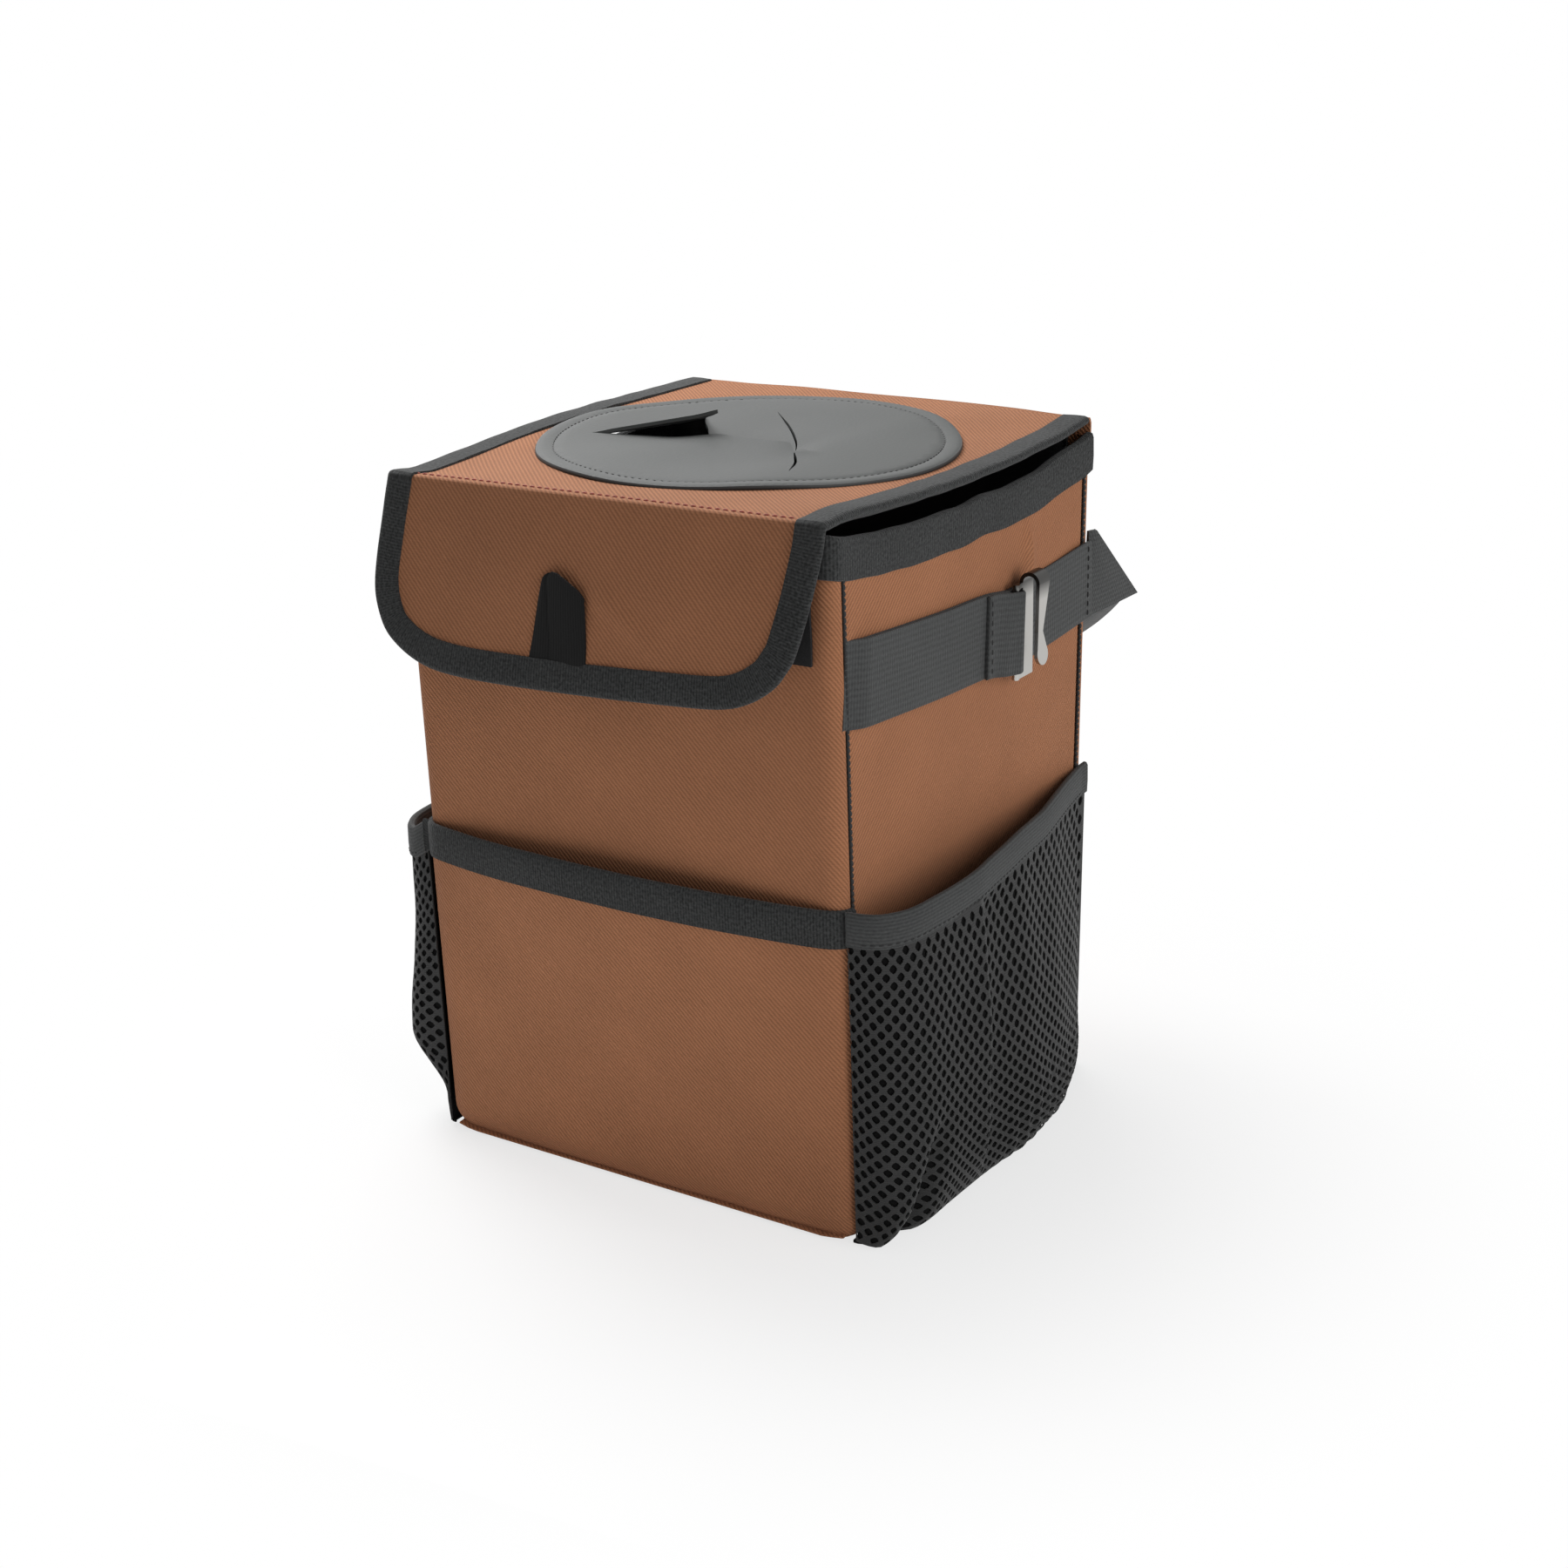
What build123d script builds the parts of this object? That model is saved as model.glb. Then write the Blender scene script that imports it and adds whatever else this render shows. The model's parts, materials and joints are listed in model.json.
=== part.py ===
from build123d import *
import math
import os

# A soft car trash bin: boxy canvas walls with stiffening boards and a waterproof tub,
# a hinged lid with a slit disc and a front flap, one front pocket, two gathered mesh
# side pockets, webbing bands with hook clips and a strap loop behind.
# Frame: +X to the right seen from the front, the front faces -Y, +Z up,
# origin at the centre of the base on the floor. Millimetres.

# Body
body_width = 180.0            # outside the canvas, left to right
rim_depth = 186.0             # front to back at the rim
base_depth = 172.0            # front to back at the floor
wall_height = 254.0           # floor to the raw top edge of the walls
base_corner = 10.0            # radius where the base turns up into the sides
rim_dip = 6.5                 # how far the soft side walls sag at mid depth

# Sheet goods
canvas = 1.0                  # outer fabric
board = 1.5                   # stiffening board
film = 0.6                    # waterproof lining
tape = 0.8                    # binding tape
webbing = 1.6                 # strap webbing thickness
webbing_width = 30.0
rim_tape_width = 14.0
lid_tape_width = 12.0
pocket_tape_width = 13.0

# Lid, flap and disc
lid_gap = 0.4                 # between rim and lid at rest
lid_overhang = 5.0            # crease of the lid in front of the front wall
fold_clearance = 0.4          # between a fold roll and the sheet that ends beside it
hinge_reveal = 4.0            # bindings stop this far from a fold
disc_radius = 75.0
disc_sheet = 1.6
disc_hole_margin = 9.0        # disc overlaps the lid's round hole by this much
stitch_inset = 6.0            # sewn groove inside the disc's edge
stitch_groove = 0.5
slit_width = 0.8
petal_lift = 11.0             # height of the petal corner that stands open
flap_length = 67.0
flap_corner = 34.0
flap_tilt = 12.0              # degrees that the flap stands off plumb
tab_width = 23.0
tab_length = 35.0
tab_offset = -12.0            # centre of the pull tab, left of the middle
tab_loop = 1.4                # open gap inside the folded tab
pad_width = 24.0              # hook and loop pads
pad_height = 24.0
pad_sheet = 1.2
pad_inset = 8.0               # outer edge of the loop pads from the body's side
pad_bottom = 211.0            # height of the loop pads' lower edge

# Pockets
pocket_height = 125.5         # mouth of all three pockets
front_bow = 8.5               # slack of the front pocket at its mouth
front_bow_base = 2.5
front_slack_depth = 32.0      # the full slack reaches this far below the mouth
pocket_seam = 2.0             # sewn foot of the front pocket
mesh_wall = 1.2
mesh_skin = 0.8               # open net on the outside of the mesh
net_gap = 0.2                 # between the net and the wall behind it
mesh_bottom = 4.0
mesh_mouth_bulge = 17.0
mesh_belly_bulge = 21.0
mesh_belly_height = 52.0
mesh_heel_bulge = 17.0
mesh_heel_height = 15.0
mesh_foot_bulge = 9.0
pleat_depth = 5.0             # gathered fold at the foot of the pocket
net_pitch_y = 15.0
net_pitch_z = 12.0
net_hole_width = 9.0
net_hole_height = 7.0
net_margin = 14.0             # plain mesh beside the seams

# Webbing band, clip and strap
band_front = 204.0            # height of the band's middle at the front seam
band_dip = 197.5              # where the band sags behind its cross seam
band_clip = 195.0             # and where the clip hangs in it
band_back = 199.0             # and at the back seam
clip_bar_radius = 1.3
clip_bar_clearance = 0.4
clip_metal = 1.4
clip_bar_place = 23.0         # bar of the clip, behind the middle of the side
clip_plate_width = 8.0
clip_slot_clearance = 0.8
clip_arm = 1.8
clip_hook_gap = 5.2
clip_waist_gap = 3.8          # the tongue leans in to this, then flares out to its tip
clip_tongue_waist = 3.6
clip_tongue_length = 30.5
loop_stitch = 5.0             # cross seam of the doubled webbing
loop_tail = 1.0               # webbing end past the cross seam
strap_bend = 45.0             # radius of the strap where it turns under
strap_run = 8.0               # straight webbing between the back seam and the fold

half_width = body_width / 2
wall_stack = canvas + board + film
side_stack = canvas + film
rim_top = wall_height + tape
lid_stack = canvas + board + film
fold_radius = lid_stack / 2
lid_underside = rim_top + lid_gap + tape
lid_top = lid_underside + lid_stack
fold_height = lid_underside + fold_radius
lid_fold_y = rim_depth / 2 - fold_radius
flap_fold_y = -(rim_depth / 2 + lid_overhang - fold_radius)
sheet_half = half_width - tape
back_low = band_back - webbing_width / 2
back_high = band_back + webbing_width / 2
reach = 400.0                 # longer than anything that is cut


def half_depth(z):
    """Half of the outside depth at a height: the front and back walls lean outward."""
    return base_depth / 2 + (rim_depth - base_depth) / 2 * z / wall_height


def along_x(face_yz, x_from, x_to):
    """Extrude a face drawn in (y, z) between two places along X."""
    return extrude(Plane.YZ.offset(x_from) * face_yz, x_to - x_from)


def along_y(face_xz, y_from, y_to):
    """Extrude a face drawn in (x, z) between two places along Y."""
    return extrude(Plane.XZ.offset(-y_to) * face_xz, y_to - y_from)


def polygon(*points):
    return make_face(Polyline(*points, close=True))


def rectangle(u_from, u_to, v_from, v_to):
    return polygon((u_from, v_from), (u_to, v_from), (u_to, v_to), (u_from, v_to))


def wall_sheet(side, depth_from, depth_to, z_from, z_to, half):
    """A leaning sheet of the front (side -1) or back (side 1) wall, measured inward from its outside."""
    def y(z, depth):
        return side * (half_depth(z) - depth)
    outline = polygon(
        (y(z_from, depth_from), z_from),
        (y(z_to, depth_from), z_to),
        (y(z_to, depth_to), z_to),
        (y(z_from, depth_to), z_from),
    )
    return along_x(outline, -half, half)


def wall_outline():
    """Front view of the body, with the base corners turned up."""
    sheet = rectangle(-half_width, half_width, 0, wall_height)
    return fillet(sheet.vertices().sort_by(Axis.Y)[:2], base_corner)


def under_rim(shift):
    """Side view of everything below the sagging rim line, moved up by shift."""
    edge = rim_depth / 2 - wall_stack - tape
    far = rim_depth / 2 + lid_overhang
    top = wall_height + shift
    line = Polyline((edge, top), (far, top), (far, 0), (-far, 0), (-far, top), (-edge, top))
    sag = ThreePointArc((-edge, top), (0, top - rim_dip), (edge, top))
    return make_face([line, sag])


def tub_block(inset_x, inset_y, bottom):
    """The space inside the walls, as a solid with turned-up base corners."""
    outline = polygon(
        (-half_depth(bottom) + inset_y, bottom),
        (half_depth(bottom) - inset_y, bottom),
        (half_depth(wall_height) - inset_y, wall_height),
        (-half_depth(wall_height) + inset_y, wall_height),
    )
    block = along_x(outline, -half_width + inset_x, half_width - inset_x)
    low_edges = block.edges().filter_by(Axis.Y).sort_by(Axis.Z)[:2]
    return fillet(low_edges, base_corner - inset_x)


def both_sides(right):
    return right, mirror(right, about=Plane.YZ)


# Walls, boards and lining
front_panel = wall_sheet(-1, 0, canvas, 0, wall_height, half_width) & along_y(wall_outline(), -reach, 0)
back_panel = wall_sheet(1, 0, canvas, 0, wall_height, half_width) & along_y(wall_outline(), 0, reach)

side_view = polygon(
    (-half_depth(base_corner) + canvas, base_corner),
    (half_depth(base_corner) - canvas, base_corner),
    (half_depth(wall_height) - canvas, wall_height),
    (-half_depth(wall_height) + canvas, wall_height),
)
side_panel = along_x(side_view & under_rim(0), half_width - canvas, half_width)
right_side_panel, left_side_panel = both_sides(side_panel)

base_inside = half_depth(0) - canvas
base_skin = rectangle(-half_width, half_width, 0, 2 * base_corner)
base_skin = fillet(base_skin.vertices().sort_by(Axis.Y)[:2], base_corner)
base_hollow = rectangle(-half_width + canvas, half_width - canvas, canvas, 3 * base_corner)
base_hollow = fillet(base_hollow.vertices().sort_by(Axis.Y)[:2], base_corner - canvas)
base_section = (base_skin - base_hollow) & rectangle(-half_width, half_width, 0, base_corner)
base_panel = along_y(base_section, -base_inside, base_inside)

board_floor = canvas + board
board_half = half_width - base_corner
base_board = along_y(rectangle(-board_half, board_half, canvas, board_floor), -base_inside, base_inside)
front_board = wall_sheet(-1, canvas, canvas + board, board_floor, wall_height, board_half)
back_board = wall_sheet(1, canvas, canvas + board, board_floor, wall_height, board_half)

lining_tub = tub_block(canvas, canvas + board, board_floor)
lining_tub = lining_tub - tub_block(canvas + film, canvas + board + film, board_floor + film)
side_rim = along_x(rectangle(-reach, reach, 0, reach) - under_rim(0), half_width - side_stack, half_width)
lining_tub = lining_tub - side_rim - mirror(side_rim, about=Plane.YZ)

# Rim binding: tape folded over the top edge of the front and both sides
walls = [front_panel, back_panel, right_side_panel, left_side_panel, front_board, back_board, lining_tub]
rim_low = wall_height - rim_tape_width
front_rim = wall_sheet(-1, -tape, wall_stack + tape, rim_low, wall_height, half_width)
front_rim_fold = rectangle(
    -rim_depth / 2 - tape, -rim_depth / 2 + wall_stack + tape, wall_height, rim_top
)
front_rim = front_rim + along_x(front_rim_fold, -half_width, half_width)
side_band_view = under_rim(tape) - under_rim(-rim_tape_width)
side_band_view = side_band_view & rectangle(-rim_depth / 2 - tape, rim_depth / 2, 0, reach)
side_rim_block = along_x(side_band_view, half_width - side_stack - tape, half_width + tape)
rim_binding = front_rim + side_rim_block + mirror(side_rim_block, about=Plane.YZ)
for wall in walls:
    rim_binding = rim_binding - wall

# Front pocket: a slack canvas panel sewn to the front wall at its sides and foot


def front_slice(z, bow, half):
    """Plan of the slack front pocket at one height."""
    y_wall = -half_depth(z)
    chord = Line((half, y_wall), (-half, y_wall))
    bulge = ThreePointArc((-half, y_wall), (0, y_wall - bow), (half, y_wall))
    return Plane.XY.offset(z) * make_face([chord, bulge])


def front_bulge(inset, foot, top):
    """Solid between the front wall and a pocket sheet that lies inset inside the outermost face."""
    slack_height = pocket_height - front_slack_depth
    half = half_width - inset
    return loft(
        [
            front_slice(foot, front_bow_base - inset, half),
            front_slice(slack_height, front_bow - inset, half),
            front_slice(top, front_bow - inset, half),
        ],
        ruled=True,
    )


front_foot = tape
over_mouth = pocket_height + pocket_tape_width
front_shape = along_y(wall_outline(), -reach, 0)
pocket_outer = front_bulge(0, front_foot, pocket_height)
pocket_inner = front_bulge(canvas, front_foot + pocket_seam, over_mouth)
front_pocket = (pocket_outer - pocket_inner) & front_shape

mouth_low = pocket_height - pocket_tape_width
mouth_zone = Pos(0, 0, mouth_low) * extrude(Rectangle(reach, reach), pocket_tape_width + tape)
front_tape_outer = front_bulge(-tape, front_foot, over_mouth) & mouth_zone
front_tape_inner = front_bulge(canvas + tape, front_foot, over_mouth)
front_pocket_binding = front_tape_outer - front_tape_inner - front_pocket
front_pocket_binding = front_pocket_binding & along_y(rectangle(-half_width, half_width, 0, reach), -reach, 0)

# Mesh side pockets: a gathered, bulging wall with an open net over it

# How far the pocket stands out along its length, as a share of the bulge: it rises fast
# behind the front seam, peaks in a soft upright ridge and falls away to the back seam.
pocket_shape = [
    (-0.93, 0.50),
    (-0.80, 0.82),
    (-0.66, 0.90),
    (-0.40, 0.95),
    (0.04, 1.08),
    (0.42, 0.90),
    (0.80, 0.45),
]
pleat_place = -0.66


def side_slice(z, bulge, pleat, grow):
    """Plan of the right mesh pocket at one height; grow moves its face outward."""
    end = half_depth(z) - canvas + grow
    points = [(half_width, -end)]
    for along, share in pocket_shape:
        fold = pleat if along == pleat_place else 0
        points.append((half_width + bulge * share - fold + grow, along * end))
    points.append((half_width, end))
    face_line = Spline(*points)
    chord = Line((half_width, end), (half_width, -end))
    return Plane.XY.offset(z) * make_face([face_line, chord])


def side_bulge(grow, foot, top):
    """Solid between the side wall and the pocket's face moved outward by grow."""
    belly = loft(
        [
            side_slice(foot, mesh_foot_bulge, pleat_depth, grow),
            side_slice(mesh_heel_height, mesh_heel_bulge, pleat_depth, grow),
            side_slice(mesh_belly_height, mesh_belly_bulge, 0, grow),
            side_slice(mouth_low, mesh_mouth_bulge, 0, grow),
        ]
    )
    return belly + extrude(side_slice(mouth_low, mesh_mouth_bulge, 0, grow), top - mouth_low)


mesh_body = side_bulge(0, mesh_bottom, pocket_height)
mesh_hollow = side_bulge(-mesh_wall, mesh_bottom + mesh_wall, over_mouth)
mesh_pocket = mesh_body - mesh_hollow
right_mesh_pocket, left_mesh_pocket = both_sides(mesh_pocket)

net_zone = Pos(0, 0, mesh_bottom) * extrude(Rectangle(reach, reach), mouth_low - mesh_bottom)
net_face = net_gap + mesh_skin
net_skin = side_bulge(net_face, mesh_bottom, pocket_height) - side_bulge(net_gap, mesh_bottom, pocket_height)
net_skin = net_skin & net_zone
diamond = polygon(
    (-net_hole_width / 2, 0), (0, -net_hole_height / 2), (net_hole_width / 2, 0), (0, net_hole_height / 2)
)
net_low = mesh_bottom + net_margin
net_rows = int((mouth_low - net_margin / 2 - net_low) / net_pitch_z) + 1
net_half = half_depth(mesh_bottom) - net_margin
net_columns = int(2 * net_half / net_pitch_y)
holes = []
for row in range(net_rows):
    shift = net_pitch_y / 2 * (row % 2)
    for column in range(net_columns):
        y = -net_half + net_pitch_y / 4 + net_pitch_y * column + shift
        z = net_low + net_pitch_z * row
        holes.append(along_x(Pos(y, z) * diamond, half_width + mesh_wall, half_width + 2 * mesh_belly_bulge))
net_skin = net_skin - holes
right_mesh_net, left_mesh_net = both_sides(net_skin)

mouth_tape = side_bulge(net_face + tape, mesh_bottom, pocket_height + tape) & mouth_zone
mouth_tape = mouth_tape - side_bulge(-mesh_wall - tape, mesh_bottom, over_mouth) - mesh_pocket
right_pocket_binding, left_pocket_binding = both_sides(mouth_tape)

# Webbing bands along the sides, sewn at the front and back seams and slack between


def band_edge(shift):
    """Line of the slack band seen from the side, moved up by shift."""
    return Spline(
        (-half_depth(band_front + shift), band_front + shift),
        (loop_stitch, band_dip + shift),
        (clip_bar_place, band_clip + shift),
        (half_depth(band_back + shift), band_back + shift),
    )


band_foot = band_edge(-webbing_width / 2)
band_head = band_edge(webbing_width / 2)
band_view = make_face(
    [band_foot, Line(band_foot @ 1, band_head @ 1), band_head, Line(band_head @ 0, band_foot @ 0)]
)
right_side_band, left_side_band = both_sides(along_x(band_view, half_width, half_width + webbing))

# Doubled webbing loop on the front half of each band, with an eye round the clip's bar
eye_inner = clip_bar_radius + clip_bar_clearance
eye_outer = eye_inner + webbing
loop_seat = half_width + webbing
bar_x = loop_seat + eye_outer
eye_place = Pos(bar_x, clip_bar_place)
sewn_end = rectangle(loop_seat, loop_seat + 2 * webbing, loop_stitch, loop_stitch + webbing)
loop_outer = make_hull((eye_place * Circle(eye_outer) + sewn_end).edges())
crotch_x = loop_seat + webbing
crotch_y = loop_stitch + 2 * webbing
crotch = rectangle(crotch_x, crotch_x + film, crotch_y, crotch_y + webbing)
loop_inner = make_hull((eye_place * Circle(eye_inner) + crotch).edges())
loop_under = rectangle(loop_seat, loop_seat + webbing, -rim_depth / 2, loop_stitch + webbing)
loop_over = rectangle(loop_seat, loop_seat + 2 * webbing, loop_stitch - loop_tail, loop_stitch + webbing)
loop_section = loop_outer - loop_inner + loop_under + loop_over
clip_loop = extrude(Plane.XY * loop_section, wall_height) & along_x(band_view, half_width, half_width + reach)
right_clip_loop, left_clip_loop = both_sides(clip_loop)

# Hook clip: a slotted plate that swivels on its bar, its top bent over into a tongue
slot_half = webbing_width / 2 + clip_slot_clearance
clip_half = slot_half + clip_arm
plate_start = clip_bar_place + eye_outer + clip_bar_clearance
plate_end = plate_start + clip_plate_width
plate_middle = (plate_start + plate_end) / 2
plate_view = rectangle(clip_bar_place, plate_end, band_clip - clip_half, band_clip + clip_half)
slot_view = rectangle(clip_bar_place, plate_start, band_clip - slot_half, band_clip + slot_half)
plate = along_x(plate_view - slot_view, bar_x - clip_metal / 2, bar_x + clip_metal / 2)
bar = Pos(bar_x, clip_bar_place, band_clip) * Cylinder(clip_bar_radius, 2 * clip_half)
bend_top = band_clip + clip_half
bend_centre = Pos(bar_x + clip_metal / 2 + clip_hook_gap / 2, bend_top)
bend_ring = Circle(clip_hook_gap / 2 + clip_metal) - Circle(clip_hook_gap / 2)
bend_view = (bend_centre * bend_ring) & rectangle(-reach, reach, bend_top, bend_top + reach)
bend = along_y(bend_view, plate_start, plate_end)
tip_radius = clip_plate_width / 2
tip_height = bend_top - clip_tongue_length + tip_radius
waist_height = tip_height + clip_plate_width
tongue_view = polygon(
    (plate_start, bend_top),
    (plate_end, bend_top),
    (plate_middle + clip_tongue_waist / 2, waist_height),
    (plate_middle + tip_radius, tip_height),
    (plate_middle - tip_radius, tip_height),
    (plate_middle - clip_tongue_waist / 2, waist_height),
)
tongue_view = tongue_view + Pos(plate_middle, tip_height) * Circle(tip_radius)
tongue_x = bar_x + clip_metal / 2 + clip_hook_gap
waist_x = bar_x + clip_metal / 2 + clip_waist_gap
tip_end = tip_height - tip_radius
lean = polygon(
    (tongue_x, bend_top),
    (tongue_x + clip_metal, bend_top),
    (waist_x + clip_metal, waist_height),
    (tongue_x + clip_metal, tip_end),
    (tongue_x, tip_end),
    (waist_x, waist_height),
)
tongue = along_x(tongue_view, bar_x, tongue_x + reach) & along_y(lean, plate_start, plate_end)
right_clip, left_clip = both_sides(plate + bar + bend + tongue)

# Strap loop behind: folded down at each back corner, then slung across the back
strap_y = half_depth(back_high) + strap_run
corner_fold_view = polygon(
    (half_depth(back_low), back_low),
    (strap_y + webbing_width, back_low),
    (strap_y, back_high),
    (half_depth(back_high), back_high),
)
corner_fold = along_x(corner_fold_view, half_width - webbing, half_width + webbing)


def strap_outline(inset):
    """Front view of the slung strap's outside, moved inward by inset."""
    low = back_low - strap_bend + inset
    hung = rectangle(-half_width + inset, half_width - inset, low, back_low)
    return fillet(hung.vertices().sort_by(Axis.Y)[:2], strap_bend - inset)


sling = along_y(strap_outline(0) - strap_outline(webbing), strap_y, strap_y + webbing_width)
sling = sling & along_x(rectangle(0, reach, 0, back_low), -reach, reach)
back_strap = sling + corner_fold + mirror(corner_fold, about=Plane.YZ)

# Lid: lining, board and canvas with a round hole, bound along both sides
lid_front = flap_fold_y + fold_radius + fold_clearance
lid_back = lid_fold_y - fold_radius - fold_clearance
hole = Circle(disc_radius - disc_hole_margin)
lid_plan = Pos(0, (lid_front + lid_back) / 2) * Rectangle(2 * sheet_half, lid_back - lid_front)
lid_lining = extrude(Plane.XY.offset(lid_underside) * (lid_plan - hole), film)
lid_board = extrude(Plane.XY.offset(lid_underside + film) * (lid_plan - hole), board)
lid_canvas = extrude(Plane.XY.offset(lid_top - canvas) * (lid_plan - hole), canvas)
lid_roll = along_x(Pos(lid_fold_y, fold_height) * Circle(fold_radius), -sheet_half, sheet_half)
lid_bridge = rectangle(lid_back - canvas, lid_fold_y, lid_top - canvas, lid_top)
lid_panel = lid_canvas + lid_roll + along_x(lid_bridge, -sheet_half, sheet_half)

lid_edge_section = rectangle(
    half_width - lid_tape_width, half_width, lid_underside - tape, lid_top + tape
) - rectangle(half_width - lid_tape_width, sheet_half, lid_underside, lid_top)
lid_edge = along_y(lid_edge_section, lid_front + hinge_reveal, lid_back - hinge_reveal)
lid_binding_right, lid_binding_left = both_sides(lid_edge)

# Slit disc, with one petal standing open. Slit ends are measured from the disc's centre.
slit_start = (-54.7, -22.4)
petal_corner = (-10.7, -7.5)
slit_end = (19.0, -2.2)
cross_back = (-13.8, 40.0)
cross_front = (35.0, -36.0)
petal_root = (-34.0, 24.0)
slits = trace(Polyline(slit_start, petal_corner, slit_end), slit_width)
slits = slits + trace(Line(cross_back, slit_end), slit_width) + trace(Line(slit_end, cross_front), slit_width)
petal_view = polygon(slit_start, petal_corner, petal_root)
disc_plan = Circle(disc_radius) - slits - petal_view
opening_disc = extrude(Plane.XY.offset(lid_top) * disc_plan, disc_sheet)
groove_radius = disc_radius - stitch_inset
groove = Circle(groove_radius + stitch_groove) - Circle(groove_radius - stitch_groove)
groove_floor = lid_top + disc_sheet - stitch_groove
opening_disc = opening_disc - extrude(Plane.XY.offset(groove_floor) * groove, disc_sheet)
root_line = Axis((*slit_start, lid_top), (petal_root[0] - slit_start[0], petal_root[1] - slit_start[1], 0))
root_length = math.dist(slit_start, petal_root)
corner_cross = (petal_root[0] - slit_start[0]) * (petal_corner[1] - slit_start[1])
corner_cross -= (petal_root[1] - slit_start[1]) * (petal_corner[0] - slit_start[0])
petal_reach = abs(corner_cross) / root_length
petal_angle = math.degrees(math.asin(petal_lift / petal_reach))
petal = extrude(Plane.XY.offset(lid_top) * petal_view, disc_sheet)
opening_disc = opening_disc + petal.rotate(root_line, -petal_angle)

# Flap: hangs from the crease of the lid, standing a little off the front
tilt = math.radians(flap_tilt)
flap_plane = Plane(
    origin=(0, flap_fold_y, fold_height), x_dir=(1, 0, 0), z_dir=(0, -math.cos(tilt), math.sin(tilt))
)


def flap_outline(inset, top):
    """Flap seen square on, from top below the crease to its rounded foot, moved inward by inset."""
    sheet = rectangle(-half_width + inset, half_width - inset, -flap_length + inset, -top)
    return fillet(sheet.vertices().sort_by(Axis.Y)[:2], flap_corner - inset)


def flap_sheet(outline, level_from, level_to):
    return extrude(flap_plane.offset(level_from) * outline, level_to - level_from)


sheet_top = fold_radius + fold_clearance
canvas_level = fold_radius - canvas
film_level = -fold_radius + film
flap_canvas = flap_sheet(flap_outline(tape, 0), canvas_level, fold_radius)
flap_roll = along_x(Pos(flap_fold_y, fold_height) * Circle(fold_radius), -sheet_half, sheet_half)
flap_panel = flap_canvas + flap_roll
flap_board = flap_sheet(flap_outline(tape, sheet_top), film_level, canvas_level)
flap_lining = flap_sheet(flap_outline(tape, sheet_top), -fold_radius, film_level)
tape_level = fold_radius + tape
flap_edge = flap_sheet(flap_outline(0, hinge_reveal), -tape_level, tape_level)
flap_edge = flap_edge - flap_sheet(flap_outline(tape, 0), -fold_radius, fold_radius)
flap_binding = flap_edge - flap_sheet(flap_outline(lid_tape_width, 0), -tape_level, tape_level)

# Pull tab: tape folded double, its ends under the flap's lower binding
tab_foot = -flap_length + tape
tab_round = tab_loop / 2 + tape
tab_top = tab_foot + tab_length - tab_round
tab_middle = tape_level + tab_round
tab_outer = rectangle(tab_middle - tab_round, tab_middle + tab_round, tab_foot, tab_top)
tab_outer = tab_outer + Pos(tab_middle, tab_top) * Circle(tab_round)
tab_sewn = tab_foot + lid_tape_width / 2
tab_inner = rectangle(tab_middle - tab_loop / 2, tab_middle + tab_loop / 2, tab_sewn, tab_top)
tab_inner = tab_inner + Pos(tab_middle, tab_top) * Circle(tab_loop / 2)
tab_plane = Plane(
    origin=flap_plane.from_local_coords((tab_offset - tab_width / 2, 0, 0)),
    x_dir=flap_plane.z_dir,
    z_dir=(1, 0, 0),
)
pull_tab = extrude(tab_plane * mirror(tab_outer - tab_inner, about=Plane.XZ), tab_width)

# Hook and loop pads that hold the flap down
pad_edge = half_width - pad_inset
loop_zone = along_y(rectangle(pad_edge - pad_width, pad_edge, 0, reach), -reach, 0)
loop_pad = wall_sheet(-1, -pad_sheet, 0, pad_bottom, pad_bottom + pad_height, half_width) & loop_zone
right_loop_pad, left_loop_pad = both_sides(loop_pad)
hook_edge = pad_edge - lid_tape_width
hook_low = -(fold_height - pad_bottom)
hook_view = rectangle(hook_edge - pad_width, hook_edge, hook_low, hook_low + pad_height)
hook_pad = flap_sheet(hook_view, -fold_radius - pad_sheet, -fold_radius)
right_hook_pad, left_hook_pad = both_sides(hook_pad)

pieces = {
    "front_panel": front_panel,
    "back_panel": back_panel,
    "right_side_panel": right_side_panel,
    "left_side_panel": left_side_panel,
    "base_panel": base_panel,
    "front_board": front_board,
    "back_board": back_board,
    "base_board": base_board,
    "lining_tub": lining_tub,
    "rim_binding": rim_binding,
    "front_pocket": front_pocket,
    "front_pocket_binding": front_pocket_binding,
    "right_mesh_pocket": right_mesh_pocket,
    "left_mesh_pocket": left_mesh_pocket,
    "right_mesh_net": right_mesh_net,
    "left_mesh_net": left_mesh_net,
    "right_pocket_binding": right_pocket_binding,
    "left_pocket_binding": left_pocket_binding,
    "right_side_band": right_side_band,
    "left_side_band": left_side_band,
    "right_clip_loop": right_clip_loop,
    "left_clip_loop": left_clip_loop,
    "right_clip": right_clip,
    "left_clip": left_clip,
    "back_strap": back_strap,
    "lid_panel": lid_panel,
    "lid_board": lid_board,
    "lid_lining": lid_lining,
    "lid_binding_right": lid_binding_right,
    "lid_binding_left": lid_binding_left,
    "opening_disc": opening_disc,
    "flap_panel": flap_panel,
    "flap_board": flap_board,
    "flap_lining": flap_lining,
    "flap_binding": flap_binding,
    "pull_tab": pull_tab,
    "right_loop_pad": right_loop_pad,
    "left_loop_pad": left_loop_pad,
    "right_hook_pad": right_hook_pad,
    "left_hook_pad": left_hook_pad,
}

os.makedirs("parts", exist_ok=True)
for name, piece in pieces.items():
    export_step(piece, f"parts/{name}.step")
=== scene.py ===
"""Car trash bin: its sewn pieces, materials and stage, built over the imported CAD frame."""

import json
import math
from bisect import bisect

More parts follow.
